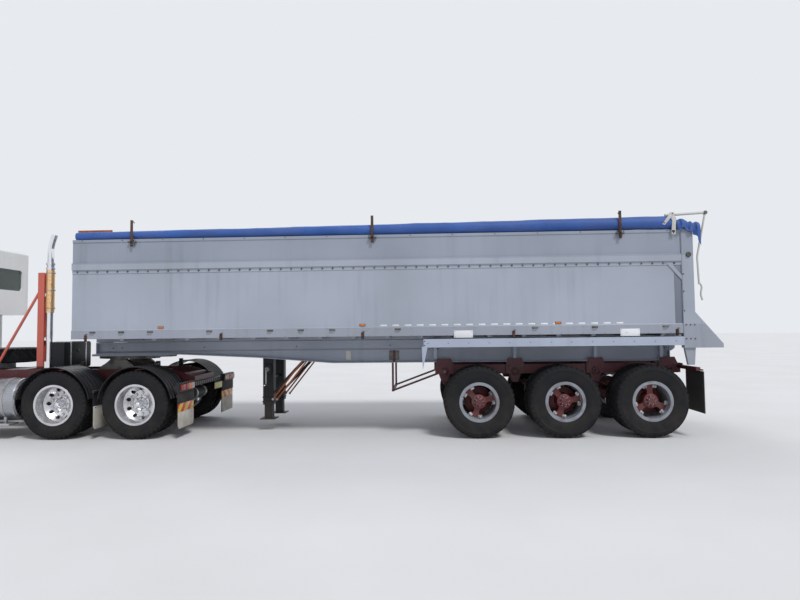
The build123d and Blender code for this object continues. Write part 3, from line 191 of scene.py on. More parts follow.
class Effect:
    """A node group that several finishes share, built once with named inputs and outputs."""

    def __init__(
        self,
        name: str,
        inputs: dict[str, float | Colour],
        outputs: dict[str, str],
        wire: Callable[[Graph, Sockets], Sockets],
    ) -> None:
        """Say what the group takes and gives.

        Args:
            name: The group's name.
            inputs: The first value of each input, a number or a colour.
            outputs: The kind of each output.
            wire: Builds the nodes from the inputs' sockets and returns what feeds each output.
        """
        self.name, self.inputs, self.outputs, self.wire = name, inputs, outputs, wire

    def tree(self) -> bpy.types.NodeTree:
        """Return the group, built at its first use."""
        known = bpy.data.node_groups.get(self.name)
        if known:
            return known
        tree = bpy.data.node_groups.new(self.name, "ShaderNodeTree")
        for name, value in self.inputs.items():
            coloured = isinstance(value, tuple)
            kind = "NodeSocketColor" if coloured else "NodeSocketFloat"
            socket = tree.interface.new_socket(name, in_out="INPUT", socket_type=kind)
            socket.default_value = (*value, 1.0) if coloured else value
        for name, kind in self.outputs.items():
            tree.interface.new_socket(name, in_out="OUTPUT", socket_type="NodeSocket" + kind)
        entry = tree.nodes.new("NodeGroupInput")
        leaving = tree.nodes.new("NodeGroupOutput")
        graph = Graph(tree)
        graph.feed(leaving, self.wire(graph, {name: entry.outputs[name] for name in self.inputs}))
        return tree

    def place(self, graph: Graph, **values: object) -> bpy.types.NodeOutputs:
        """Place the group in a material, feed its inputs and return its outputs."""
        return graph.add("Group", values, node_tree=self.tree()).outputs


def wire_edge_wear(graph: Graph, fed: Sockets) -> Sockets:
    """Find edges with a bevel node: its normal rounds them, and its turn gives the worn mask."""
    rounded = graph.add("Bevel", {"Radius": fed["Radius"]}, samples=4).outputs[0]
    flat = graph.add("NewGeometry").outputs["Normal"]
    alike = graph.add("VectorMath", {0: rounded, 1: flat}, operation="DOT_PRODUCT").outputs["Value"]
    turned = graph.span(graph.math("SUBTRACT", 1.0, alike), 0.015, 0.16)
    patchy = graph.span(graph.speckle(38.0, 4.0), 0.42, 0.6)
    mask = graph.times(graph.times(turned, patchy), fed["Amount"])
    return {"Mask": mask, "Normal": rounded}


def wire_dust(graph: Graph, fed: Sockets) -> Sockets:
    """Lay road dust on low places and on faces that look up."""
    low = graph.span(graph.along(Axis.Z), fed["High"], fed["Low"])
    up = graph.add("SeparateXYZ", {0: graph.add("NewGeometry").outputs["Normal"]}).outputs[2]
    lying = graph.times(graph.span(up, 0.5, 1.0), 0.5)
    cloudy = graph.span(graph.speckle(fed["Scale"], 6.0), 0.3, 0.72)
    thick = graph.times(graph.math("ADD", low, lying), cloudy)
    inputs = {0: thick, 1: fed["Amount"]}
    mask = graph.add("Math", inputs, operation="MULTIPLY", use_clamp=True).outputs[0]
    return {"Colour": graph.blend(mask, fed["Colour"], fed["Dust"]), "Mask": mask}


def wire_streaks(graph: Graph, fed: Sockets) -> Sockets:
    """Draw the thin upright marks that rain leaves on panels."""
    thin = graph.span(graph.speckle(1.0, 4.0, (9.0, 9.0, 0.55)), 0.5, 0.78)
    mask = graph.times(thin, graph.span(graph.speckle(0.9, 2.0), 0.38, 0.62))
    return {"Mask": graph.times(mask, fed["Amount"])}


def wire_sheet_metal(graph: Graph, fed: Sockets) -> Sockets:
    """Give rolled sheet its slow waves and paint its fine grain, as a height in metres."""
    waves = graph.times(graph.speckle(1.6, 2.0, (1.0, 1.0, 1.8)), fed["Waves"])
    grain = graph.times(graph.speckle(fed["Scale"], 2.0), fed["Grain"])
    return {"Height": graph.math("ADD", waves, grain)}


def wire_rust(graph: Graph, fed: Sockets) -> Sockets:
    """Spread rust in patches, dark brown and orange brown by turns."""
    patches = graph.speckle(fed["Scale"], 8.0)
    start = graph.math("SUBTRACT", 0.78, graph.times(fed["Amount"], 0.4))
    mask = graph.span(patches, start, graph.math("ADD", start, 0.06))
    tone = graph.span(graph.speckle(45.0, 4.0), 0.35, 0.65)
    return {"Colour": graph.blend(tone, (0.22, 0.07, 0.025), (0.09, 0.035, 0.02)), "Mask": mask}


def wire_weave(graph: Graph, fed: Sockets) -> Sockets:
    """Cross two sets of threads over the piece's own UV map."""
    spot = graph.add("SeparateXYZ", {0: graph.add("UVMap").outputs[0]})
    threads = []
    for number in (0, 1):
        turn = graph.times(spot.outputs[number], fed["Threads"])
        threads.append(graph.math("ABSOLUTE", graph.math("SINE", turn)))
    height = graph.math("MAXIMUM", *threads)
    shade = graph.span(height, 0.6, 1.0)
    return {"Height": graph.times(height, fed["Depth"]), "Shade": shade}


EDGE_WEAR = Effect(
    "edge_wear",
    {"Radius": 0.004, "Amount": 0.5},
    {"Mask": "Float", "Normal": "Vector"},
    wire_edge_wear,
)
ROAD_DUST = Effect(
    "road_dust",
    {
        "Colour": (0.5, 0.5, 0.5),
        "Dust": (0.3, 0.22, 0.16),
        "Amount": 0.4,
        "Low": 0.3,
        "High": 1.6,
        "Scale": 2.2,
    },
    {"Colour": "Color", "Mask": "Float"},
    wire_dust,
)
RAIN_STREAKS = Effect("rain_streaks", {"Amount": 0.4}, {"Mask": "Float"}, wire_streaks)
SHEET_METAL = Effect(
    "sheet_metal",
    {"Waves": 0.002, "Grain": 0.0001, "Scale": 320.0},
    {"Height": "Float"},
    wire_sheet_metal,
)
RUST = Effect(
    "rust", {"Amount": 0.3, "Scale": 3.0}, {"Colour": "Color", "Mask": "Float"}, wire_rust
)
WEAVE = Effect(
    "weave",
    {"Threads": 2000.0, "Depth": 0.0004},
    {"Height": "Float", "Shade": "Float"},
    wire_weave,
)


# Finishes


@dataclass(frozen=True)
class Finish:
    """A material that is made at its first use."""

    name: str
    slot: str

    def material(self) -> bpy.types.Material:
        """Return the finish's material."""
        label = f"finish_{self.name}"
        known = bpy.data.materials.get(label)
        if known:
            return known
        material = bpy.data.materials.new(label)
        material.use_nodes = True
        material.node_tree.nodes.clear()
        graph = Graph(material.node_tree)
        shader = graph.add("BsdfPrincipled")
        graph.add("OutputMaterial", {"Surface": shader.outputs[0]})
        graph.feed(shader, self.shade(graph))
        return material

    def shade(self, graph: Graph) -> dict[str, object]:
        """Return what goes to the shader's sockets; each finish says how."""
        raise NotImplementedError

    def on(self, *nodes: str) -> None:
        """Put the finish on CAD nodes, whose meshes stay as they are."""
        for node in nodes:
            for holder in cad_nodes()[node].material_slots:
                holder.material = self.material()


@dataclass(frozen=True)
class Zone:
    """The part of a finish past a place on one axis, in another colour; on the tub it is painted
    shade.
    """

    axis: Axis
    start: float
    colour: Colour
    above: bool = True
    border: ClassVar[float] = 0.002

    def over(self, graph: Graph, tint: Tint) -> Socket:
        """Lay the zone's colour over a tint."""
        border = self.border if self.above else -self.border
        mask = graph.span(graph.along(self.axis), self.start - border, self.start + border)
        return graph.blend(mask, tint, self.colour)


@dataclass(frozen=True)
class Paint(Finish):
    """Paint on metal, with grime, dust, worn edges, rust and the sheet's own waves."""

    colour: Colour
    roughness: float = 0.42
    coat: float = 0.0
    dust: float = 0.3
    dust_top: float = 1.7
    streaks: float = 0.25
    wear: float = 0.3
    rust: float = 0.0
    waves: float = 0.0015
    shine: float = 0.5
    zones: tuple[Zone, ...] = ()
    bare: ClassVar[Colour] = (0.25, 0.22, 0.2)
    dust_roughness: ClassVar[float] = 0.92

    def shade(self, graph: Graph) -> dict[str, object]:
        """Layer zones, cloudiness, streaks, wear, rust and dust over the paint."""
        tint: Tint = self.colour
        for zone in self.zones:
            tint = zone.over(graph, tint)
        darkest = graph.tone(0.5, tint)
        cloudy = graph.span(graph.speckle(0.7, 3.0), 0.35, 0.65)
        tint = graph.blend(cloudy, tint, graph.tone(0.84, tint))
        tint = graph.blend(RAIN_STREAKS.place(graph, Amount=self.streaks)["Mask"], tint, darkest)
        edges = EDGE_WEAR.place(graph, Amount=self.wear)
        tint = graph.blend(edges["Mask"], tint, self.bare)
        if self.rust:
            rusty = RUST.place(graph, Amount=self.rust)
            tint = graph.blend(rusty["Mask"], tint, rusty["Colour"])
        dusty = ROAD_DUST.place(graph, Colour=tint, Amount=self.dust, High=self.dust_top)
        height = SHEET_METAL.place(graph, Waves=self.waves)["Height"]
        return {
            "Base Color": dusty["Colour"],
            "Roughness": graph.span(dusty["Mask"], 0.0, 1.0, (self.roughness, self.dust_roughness)),
            "Specular IOR Level": self.shine,
            "Coat Weight": self.coat,
            "Coat Roughness": 0.12,
            "Normal": graph.bump(height, Normal=edges["Normal"]),
        }


@dataclass(frozen=True)
class Metal(Finish):
    """Bare metal: polished, brushed, chromed or cast, with grime in its low spots."""

    colour: Colour
    roughness: float = 0.22
    grime: float = 0.3
    grime_colour: Colour = (0.09, 0.08, 0.07)
    brushed: Point = (60.0, 60.0, 60.0)
    pits: float = 0.00005
    metallic: float = 1.0

    def shade(self, graph: Graph) -> dict[str, object]:
        """Mix grime over the metal and roughen it where it lies."""
        edges = EDGE_WEAR.place(graph, Amount=0.0, Radius=0.003)
        dirt = graph.span(graph.speckle(5.0, 7.0), 0.62 - 0.3 * self.grime, 0.78)
        dirt = graph.times(dirt, min(1.0, 2.2 * self.grime))
        lines = graph.speckle(1.0, 3.0, self.brushed)
        shine = graph.span(lines, 0.3, 0.7, (self.roughness * 0.75, self.roughness * 1.35))
        height = graph.times(lines, self.pits)
        return {
            "Base Color": graph.blend(dirt, self.colour, self.grime_colour),
            "Metallic": graph.span(dirt, 0.0, 1.0, (self.metallic, 0.2)),
            "Roughness": graph.math("ADD", shine, graph.times(dirt, 0.4)),
            "Normal": graph.bump(height, Normal=edges["Normal"]),
        }


@dataclass(frozen=True)
class SpiderWheel(Finish):
    """A wheel in two colours: one on the rims outside a radius and another inside it."""

    centre: tuple[float, float]
    rim: Colour
    middle: Colour
    split: float
    middle_roughness: float
    metallic: float
    roughness: float
    dirt: float

    def shade(self, graph: Graph) -> dict[str, object]:
        """Split the colours by the distance from the axle, and lay dust over both."""
        squares = []
        for axis, middle in zip((Axis.X, Axis.Z), self.centre):
            away = graph.math("SUBTRACT", graph.along(axis), middle)
            squares.append(graph.times(away, away))
        border = 0.0008
        edge = self.split**2
        outside = graph.span(graph.math("ADD", *squares), edge - border, edge + border)
        edges = EDGE_WEAR.place(graph, Amount=0.4)
        tint = graph.blend(outside, self.middle, self.rim)
        tint = graph.blend(edges["Mask"], tint, (0.2, 0.17, 0.15))
        dirt = graph.span(graph.speckle(7.0, 6.0), 0.44, 0.75, (0.0, self.dirt))
        shine = graph.span(outside, 0.0, 1.0, (self.middle_roughness, self.roughness))
        height = SHEET_METAL.place(graph, Waves=0.0006, Grain=0.0002, Scale=160.0)["Height"]
        return {
            "Base Color": graph.blend(dirt, tint, (0.12, 0.085, 0.065)),
            "Metallic": self.metallic,
            "Roughness": graph.math("ADD", shine, graph.times(dirt, 0.5)),
            "Normal": graph.bump(height, Normal=edges["Normal"]),
        }


@dataclass(frozen=True)
class Moulding(Finish):
    """Rubber or plastic: a grained surface with dust on it."""

    colour: Colour
    roughness: float = 0.7
    dust: float = 0.3
    dust_top: float = 1.6
    grain: float = 0.0003
    ribs: float = 0.0
    rib_pitch: float = 0.05
    dust_colour: ClassVar[Colour] = (0.2, 0.155, 0.125)
    dust_roughness: ClassVar[float] = 0.95

    def shade(self, graph: Graph) -> dict[str, object]:
        """Grain the surface, rib it across the rig if asked, and dust it."""
        laid = {"Amount": self.dust, "High": self.dust_top, "Dust": self.dust_colour, "Scale": 6.0}
        dusty = ROAD_DUST.place(graph, Colour=self.colour, **laid)
        height = graph.times(graph.speckle(240.0, 3.0), self.grain)
        if self.ribs:
            turn = graph.times(graph.along(Axis.Y), math.tau / self.rib_pitch)
            wave = graph.times(graph.math("SINE", turn), self.ribs)
            height = graph.math("ADD", height, wave)
        return {
            "Base Color": dusty["Colour"],
            "Roughness": graph.span(dusty["Mask"], 0.0, 1.0, (self.roughness, self.dust_roughness)),
            "Specular IOR Level": 0.25,
            "Normal": graph.bump(height),
        }


@dataclass(frozen=True)
class Glass(Finish):
    """Tinted window or lamp glass."""

    colour: Colour
    clear: float
    flutes: float = 0.0
    roughness: ClassVar[float] = 0.03

    def shade(self, graph: Graph) -> dict[str, object]:
        """Let light through, with a film of dust or moulded flutes."""
        film = (self.roughness, self.roughness + 0.16)
        sockets = {
            "Base Color": self.colour,
            "Roughness": graph.span(graph.speckle(3.0, 5.0), 0.45, 0.75, film),
            "Transmission Weight": self.clear,
            "IOR": 1.45,
        }
        if self.flutes:
            inputs = {"Vector": graph.add("TexCoord").outputs["Object"], "Scale": self.flutes}
            bands = graph.add("TexWave", inputs, bands_direction="Z")
            sockets["Normal"] = graph.bump(bands.outputs[1], 0.001)
        return sockets


@dataclass(frozen=True)
class Cloth(Finish):
    """Woven cover cloth or seat fabric, on the piece's own UV map in metres."""

    colour: Colour
    threads: float = 3000.0
    sheen: float = 0.25
    dust: float = 0.2

    def shade(self, graph: Graph) -> dict[str, object]:
        """Weave the threads, fade them unevenly and dust the folds."""
        woven = WEAVE.place(graph, Threads=self.threads)
        faded = tuple(min(1.0, 1.5 * part + 0.02) for part in self.colour)
        tint = graph.blend(graph.span(graph.speckle(1.7, 5.0), 0.4, 0.7), self.colour, faded)
        tint = graph.blend(woven["Shade"], tuple(0.7 * part for part in self.colour), tint)
        dusty = ROAD_DUST.place(graph, Colour=tint, Amount=self.dust, High=4.0, Low=3.0)
        creased = graph.times(graph.speckle(9.0, 4.0), 0.004)
        return {
            "Base Color": dusty["Colour"],
            "Roughness": 0.62,
            "Sheen Weight": self.sheen,
            "Sheen Roughness": 0.4,
            "Normal": graph.bump(graph.math("ADD", woven["Height"], creased)),
        }


@dataclass(frozen=True)
class Banding(Finish):
    """Reflective slanted stripes in two colours, worn and dusty."""

    first: Colour
    second: Colour
    pitch: ClassVar[float] = 0.24

    def shade(self, graph: Graph) -> dict[str, object]:
        """Draw bands that slant the same way out on both sides of the rig."""
        out = graph.math("ABSOLUTE", graph.along(Axis.Y))
        run = graph.math("DIVIDE", graph.math("ADD", out, graph.along(Axis.Z)), self.pitch)
        band = graph.span(graph.math("FLOORED_MODULO", run, 1.0), 0.44, 0.46)
        dirt = graph.span(graph.speckle(12.0, 6.0), 0.45, 0.8, (0.0, 0.55))
        tint = graph.blend(band, self.first, self.second)
        return {
            "Base Color": graph.blend(dirt, tint, (0.16, 0.12, 0.1)),
            "Roughness": graph.span(dirt, 0.0, 1.0, (0.28, 0.8)),
            "Normal": graph.bump(graph.speckle(700.0, 1.0), 0.0004),
        }


# The tub's paint is pale silver-white; this grey-blue colour is partly that paint and partly
# painted shade.
TUB_PAINT = Paint(
    "tub_paint",
    "tub_paint",
    (0.39, 0.425, 0.495),
    roughness=0.34,
    dust=0.12,
    streaks=0.38,
    wear=0.25,
    waves=0.003,
    # Both zones are painted shade: the wall is darker above 2.625 m and below 1.632 m.
    zones=(
        Zone(Axis.Z, 2.625, (0.32, 0.352, 0.42)),
        Zone(Axis.Z, 1.632, (0.33, 0.355, 0.41), above=False),
    ),
)
GUARD_PAINT = Paint(
    "guard_paint",
    "tub_paint",
    (0.42, 0.47, 0.57),
    roughness=0.4,
    dust=0.14,
    dust_top=1.2,
    streaks=0.3,
    zones=(Zone(Axis.Z, 0.99, (0.03, 0.031, 0.034), above=False),),
)
PALE_PAINT = Paint("pale_paint", "tub_paint", (0.6, 0.59, 0.55), dust=0.2, streaks=0.35)
STRIP_PAINT = Paint("strip_paint", "tub_paint", (0.2, 0.22, 0.27), roughness=0.5, wear=0.2)
# The beam's paint is light grey-white; this darker blue-grey is partly that paint and partly
# painted shade.
BEAM_PAINT = Paint(
    "beam_paint",
    "grey_paint",
    (0.36, 0.4, 0.47),
    roughness=0.5,
    dust=0.12,
    streaks=0.5,
    wear=0.35,
    rust=0.07,
)
CAB_PAINT = Paint(
    "cab_paint",
    "cab_paint",
    (0.82, 0.82, 0.8),
    roughness=0.25,
    coat=0.5,
    dust=0.14,
    streaks=0.08,
    wear=0.05,
    waves=0.0004,
)
MAROON_PAINT = Paint(
    "maroon_paint",
    "maroon_paint",
    (0.1, 0.014, 0.022),
    roughness=0.45,
    dust=0.22,
    dust_top=1.3,
    streaks=0.2,
    wear=0.25,
    rust=0.1,
)
FRAME_PAINT = Paint(
    "tractor_frame_paint",
    "maroon_paint",
    (0.1, 0.014, 0.022),
    dust=0.2,
    dust_top=1.2,
    rust=0.12,
    zones=(Zone(Axis.Z, 1.04, (0.62, 0.14, 0.1)),),
)
GREY_PAINT = Paint("grey_paint", "grey_paint", (0.3, 0.31, 0.33), roughness=0.5, dust=0.35)
BLACK_PAINT = Paint(
    "black_paint",
    "black_paint",
    (0.01, 0.011, 0.014),
    roughness=0.5,
    dust=0.12,
    dust_top=0.9,
    wear=0.25,
    rust=0.1,
    shine=0.3,
)
WHITE_TAPE = Paint(
    "white_tape", "tub_paint", (0.85, 0.86, 0.87), roughness=0.3, wear=0.1, waves=0.0
)
PLATE = Paint("blank_plate", "tub_paint", (0.7, 0.66, 0.2), roughness=0.35, wear=0.1, waves=0.0)
POLISHED = Metal(
    "polished_aluminium",
    "bright_metal",
    (0.42, 0.43, 0.46),
    roughness=0.24,
    brushed=(3.0, 260.0, 260.0),
)
CHROME = Metal("chrome", "chrome", (0.86, 0.86, 0.88), roughness=0.07, grime=0.08)
CAST = Metal(
    "cast_metal", "cast_metal", (0.17, 0.16, 0.15), 0.5, 0.6, (0.03, 0.025, 0.02), pits=0.0006
)
STEEL = Metal("zinc_steel", "bright_metal", (0.5, 0.5, 0.5), roughness=0.4, grime=0.4)
RUSTY = Metal(
    "rusty_steel",
    "cast_metal",
    (0.1, 0.055, 0.04),
    roughness=0.75,
    grime=0.5,
    grime_colour=(0.05, 0.03, 0.025),
    pits=0.0008,
    metallic=0.3,
)
ORANGE_RUST = Metal(
    "orange_rust",
    "cast_metal",
    (0.4, 0.13, 0.05),
    roughness=0.7,
    grime=0.35,
    grime_colour=(0.12, 0.05, 0.03),
    pits=0.0008,
    metallic=0.2,
)
# The shield's orange is partly rust-tinted chrome and partly a painted reflection of sunlit ground.
SHIELD = Metal("heat_shield", "bright_metal", (0.95, 0.62, 0.33), 0.35, 0.1, (0.3, 0.12, 0.05))
RUBBER = Moulding("tyre_rubber", "tyre_rubber", (0.008, 0.009, 0.011), 0.75, 0.1, 1.2, 0.0005)
FLAP_RUBBER = Moulding("flap_rubber", "guard_plastic", (0.03, 0.031, 0.034), roughness=0.75)
PLASTIC = Moulding(
    "guard_plastic",
    "guard_plastic",
    (0.016, 0.018, 0.022),
    roughness=0.34,
    dust=0.18,
    dust_top=1.3,
    ribs=0.004,
    rib_pitch=0.09,
)
TRIM = Moulding(
    "cabin_trim", "cabin_trim", (0.07, 0.07, 0.075), roughness=0.6, dust=0.1, grain=0.0006
)
GASKET = Moulding("gasket", "guard_plastic", (0.015, 0.015, 0.016), roughness=0.6, dust=0.1)
CREAM = Moulding(
    "cream_rubber", "guard_plastic", (0.62, 0.6, 0.52), roughness=0.6, dust=0.5, grain=0.0002
)
WINDOW = Glass("window_glass", "cabin_trim", (0.4, 0.47, 0.45), clear=0.94)
AMBER = Glass("amber_lens", "tub_paint", (0.85, 0.22, 0.03), clear=0.25, flutes=60.0)
RED_LENS = Glass("red_lens", "tub_paint", (0.36, 0.012, 0.012), clear=0.25, flutes=60.0)
CLEAR_LENS = Glass("clear_lens", "chrome", (0.9, 0.92, 0.95), clear=0.6, flutes=40.0)
COVER_CLOTH = Cloth("cover_cloth", "cover_fabric", (0.014, 0.085, 0.34), dust=0.1)
SEAT_CLOTH = Cloth("seat_cloth", "cabin_trim", (0.05, 0.055, 0.07), threads=2500.0, sheen=0.1)
HAZARD = Banding("hazard_band", "tub_paint", (0.62, 0.035, 0.03), (0.75, 0.5, 0.06))

_loaded: dict = {}


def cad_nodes() -> dict:
    """Return the CAD nodes' objects by name."""
    return _loaded["nodes"]


# Pieces


def shift(place: Point) -> Matrix:
    """Return the move to a place."""
    return Matrix.Translation(Vector(place))


def aim(direction: Point) -> Matrix:
    """Return the turn that takes +Z to a direction."""
    return Vector(direction).to_track_quat("Z", "Y").to_matrix().to_4x4()


def put(name: str, data: bpy.types.ID) -> bpy.types.Object:
    """Return a new object that is in the scene."""
    made = bpy.data.objects.new(name, data)
    bpy.context.scene.collection.objects.link(made)
    return made


def mesh_of(part: Shape, name: str) -> bpy.types.Mesh:
    """Return a shape as a new mesh, and free it."""
    mesh = bpy.data.meshes.new(name)
    part.to_mesh(mesh)
    part.free()
    return mesh


def leaning(slope: float, height: float) -> Matrix:
    """Return the shear that leans upright shapes back, and holds what is at a height."""
    turn = Matrix.Identity(4)
    turn[0][2], turn[0][3] = slope, -slope * height
    return turn


def circle(count: int) -> list[float]:
    """Return even angles round a circle."""
    return [math.tau * number / count for number in range(count)]


def cube(size: Point) -> Shape:
    """Return a block round the origin."""
    part = bmesh.new()
    bmesh.ops.create_cube(part, size=1.0)
    bmesh.ops.scale(part, vec=size, verts=part.verts[:])
    return part


def flat(outline: Outline, normal: Axis, start: float) -> Shape:
    """Return a flat face.

    Args:
        outline: Its corners, in the two axes that are left, in their order.
        normal: The axis that it is square to.
        start: Where it lies on that axis.

    Returns:
        The shape with its one face.
    """
    part = bmesh.new()
    corners = []
    for corner in outline:
        spot = list(corner)
        spot.insert(normal.value, start)
        corners.append(part.verts.new(spot))
    part.faces.new(corners)
    return part


def thicken(part: Shape, normal: Axis, thickness: float) -> None:
    """Extrude a flat shape along an axis."""
    grown = bmesh.ops.extrude_face_region(part, geom=part.faces[:])
    step = [0.0, 0.0, 0.0]
    step[normal.value] = thickness
    moved = [item for item in grown["geom"] if isinstance(item, bmesh.types.BMVert)]
    bmesh.ops.translate(part, vec=step, verts=moved)


class Piece:
    """One visible piece of the rig, put together in a bmesh from shaped parts."""

    def __init__(self, name: str, body: str, *finishes: Finish) -> None:
        """Start an empty piece.

        Args:
            name: The piece's name.
            body: The CAD body that it rides on.
            finishes: Its finishes; a part picks one by number.
        """
        self.name, self.body, self.finishes = name, body, finishes
        self.mesh = bpy.data.meshes.new(name)
        self.whole = bmesh.new()

    def take(
        self, part: Shape, finish: int = 0, places: Iterable[Matrix] = (Matrix(),)
    ) -> Piece:
        """Add a shaped part at one or more places, and free it.

        Args:
            part: The part's bmesh.
            finish: The number of its finish.
            places: Where copies of it go.

        Returns:
            The piece.
        """
        bmesh.ops.recalc_face_normals(part, faces=part.faces[:])
        for face in part.faces:
            face.material_index = finish
            face.smooth = True
        carrier = bpy.data.meshes.new("carrier")
        for place in places:
            copy = part.copy()
            bmesh.ops.transform(copy, matrix=place, verts=copy.verts[:])
            if place.determinant() < 0:
                bmesh.ops.reverse_faces(copy, faces=copy.faces[:])
            copy.to_mesh(carrier)
            self.whole.from_mesh(carrier)
            copy.free()
        bpy.data.meshes.remove(carrier)
        part.free()
        return self

    def box(
        self, low: Point, high: Point, finish: int = 0, rounding: float = 0.0, **places: object
    ) -> Piece:
        """Add a block between two corners, its edges rounded if asked."""
        low, high = Vector(low), Vector(high)
        part = cube([max(abs(side), 1e-4) for side in high - low])
        bmesh.ops.translate(part, vec=(low + high) / 2, verts=part.verts[:])
        if rounding:
            soften(part, rounding)
        return self.take(part, finish, **places)

    def rod(
        self,
        start: Point,
        end: Point,
        radius: float,
        finish: int = 0,
        tip: float | None = None,
        sides: int = 20,
    ) -> Piece:
        """Add a round bar or cone between two points."""
        start, end = Vector(start), Vector(end)
        part = bmesh.new()
        bmesh.ops.create_cone(
            part,
            cap_ends=True,
            segments=sides,
            radius1=radius,
            radius2=radius if tip is None else tip,
            depth=(end - start).length,
        )
        place = shift((start + end) / 2) @ aim(end - start)
        return self.take(part, finish, (place,))

    def turned(
        self,
        profile: Outline,
        centre: Point,
        direction: Point,
        finish: int = 0,
        steps: int = 48,
        closed: bool = False,
    ) -> Piece:
        """Add a turned shape.

        Args:
            profile: Radius and height of each point.
            centre: Where height 0 is on the axis.
            direction: The axis.
            finish: The number of its finish.
            steps: Facets round the axis.
            closed: Whether the profile's last point joins its first.

        Returns:
            The piece.
        """
        part = turn_profile(profile, steps, closed)
        return self.take(part, finish, (shift(centre) @ aim(direction),))

    def hoop(
        self,
        radii: tuple[float, float],
        half: float,
        centre: Point,
        direction: Point,
        finish: int,
        steps: int,
    ) -> Piece:
        """Add a flat band round an axis, between two radii and as far both ways as half."""
        inner, outer = radii
        band = ((inner, -half), (outer, -half), (outer, half), (inner, half))
        return self.turned(band, centre, direction, finish, steps, closed=True)

    def slab(
        self,
        outline: Outline,
        normal: Axis,
        start: float,
        thickness: float,
        finish: int = 0,
        rounding: float = 0.0,
        **places: object,
    ) -> Piece:
        """Add a flat outline with a thickness.

        Args:
            outline: Its corners, as flat takes them.
            normal: The axis that it is thick along.
            start: Where it begins on that axis.
            thickness: How far it runs from there.
            finish: The number of its finish.
            rounding: The edges' rounding.
            places: Where copies go, as take says.

        Returns:
            The piece.
        """
        part = flat(outline, normal, start)
        thicken(part, normal, thickness)
        if rounding:
            soften(part, rounding)
        return self.take(part, finish, **places)

    def pipe(
        self, points: Sequence[Point], radius: float, finish: int = 0, bend: float = 0.06
    ) -> Piece:
        """Add a bent pipe through points, its corners rounded by a curve."""
        line = bpy.data.curves.new("pipe", "CURVE")
        line.dimensions = "3D"
        line.bevel_depth = radius
        line.bevel_resolution = 3
        line.use_fill_caps = True
        spline = line.splines.new("BEZIER")
        spots = [Vector(point) for point in points]
        spline.bezier_points.add(len(spots) * 2 - 3)
        stops = [spots[0]]
        for before, corner, after in zip(spots, spots[1:], spots[2:]):
            for other in (before, after):
                reach = min(bend, (other - corner).length * 0.45)
                stops.append(corner + (other - corner).normalized() * reach)
        stops.append(spots[-1])
        for number, (knot, stop) in enumerate(zip(spline.bezier_points, stops)):
            knot.co = stop
            corner = spots[(number + 1) // 2]
            inner = 0 < number < len(stops) - 1
            goal = stop.lerp(corner, 0.55) if inner else stop
            backward = number % 2 == 0
            knot.handle_left_type = knot.handle_right_type = "FREE"
            knot.handle_left = goal if inner and backward else stop
            knot.handle_right = stop if backward or not inner else goal
        holder = bpy.data.objects.new("pipe", line)
        mesh = bpy.data.meshes.new_from_object(holder)
        part = bmesh.new()
        part.from_mesh(mesh)
        bpy.data.objects.remove(holder)
        bpy.data.curves.remove(line)
        bpy.data.meshes.remove(mesh)
        return self.take(part, finish)

    def nuts(
        self,
        places: Sequence[Point],
        direction: Point,
        radius: float,
        height: float,
        finish: int = 0,
        sides: int = 6,
        taper: float = 0.86,
    ) -> Piece:
        """Add nuts or bolt heads that stand on a surface."""
        part = bmesh.new()
        bmesh.ops.create_cone(
            part,
            cap_ends=True,
            segments=sides,
            radius1=radius,
            radius2=radius * taper,
            depth=height,
        )
        bmesh.ops.translate(part, vec=(0, 0, height / 2), verts=part.verts[:])
        turn = aim(direction)
        return self.take(part, finish, [shift(place) @ turn for place in places])

    def arc_bar(
        self, centre: Point, radius: float, thickness: float, start: float, end: float
    ) -> Piece:
        """Add a round bar bent round an axle, between two angles in degrees above +X."""
        part = bmesh.new()
        bmesh.ops.create_circle(part, cap_ends=False, segments=8, radius=thickness)
        bmesh.ops.translate(part, vec=(radius, 0, 0), verts=part.verts[:])
        first = Matrix.Rotation(math.radians(-start), 4, "Y")
        bmesh.ops.transform(part, matrix=first, verts=part.verts[:])
        bmesh.ops.spin(
            part,
            geom=part.verts[:] + part.edges[:],
            cent=(0, 0, 0),
            axis=ACROSS,
            dvec=(0, 0, 0),
            angle=math.radians(start - end),
            steps=40,
            use_merge=False,
            use_duplicate=False,
        )
        bmesh.ops.holes_fill(part, edges=part.edges[:], sides=8)
        return self.take(part, 0, (shift(centre),))

    def rim(
        self,
        outline: Outline,
        normal: Axis,
        start: float,
        thickness: float,
        width: float,
        finish: int = 0,
        **places: object,
    ) -> Piece:
        """Add a flat frame inside an outline, such as a window's seal.

        Args:
            outline: Its outer corners, as flat takes them.
            normal: The axis that it is thick along.
            start: Where it begins on that axis.
            thickness: How far it runs from there.
            width: The frame's width.
            finish: The number of its finish.
            places: Where copies go, as take says.

        Returns:
            The piece.
        """
        part = flat(outline, normal, start)
        middle = part.faces[:]
        bmesh.ops.inset_region(part, faces=middle, thickness=width, use_even_offset=True)
        bmesh.ops.delete(part, geom=middle, context="FACES")
        thicken(part, normal, thickness)
        return self.take(part, finish, **places)

    def adopt(self, part: Shape, spots: dict[int, tuple[float, float]]) -> Piece:
        """Make a sheet the piece's only part, with its cut's own measures as its UV map.

        Args:
            part: The sheet.
            spots: Where each vertex lies on the cut, in metres.

        Returns:
            The piece.
        """
        cut = part.loops.layers.uv.new("UVMap")
        for face in part.faces:
            face.smooth = True
            for loop in face.loops:
                loop[cut].uv = spots[loop.vert.index]
        self.whole.free()
        self.whole = part
        return self

    def mirrored(self) -> Piece:
        """Add the piece's mirror image on the rig's other side."""
        whole = self.whole
        found = bmesh.ops.duplicate(whole, geom=whole.faces[:] + whole.edges[:] + whole.verts[:])
        verts = [item for item in found["geom"] if isinstance(item, bmesh.types.BMVert)]
        faces = [item for item in found["geom"] if isinstance(item, bmesh.types.BMFace)]
        bmesh.ops.scale(whole, vec=(1, -1, 1), verts=verts)
        bmesh.ops.reverse_faces(whole, faces=faces)
        return self

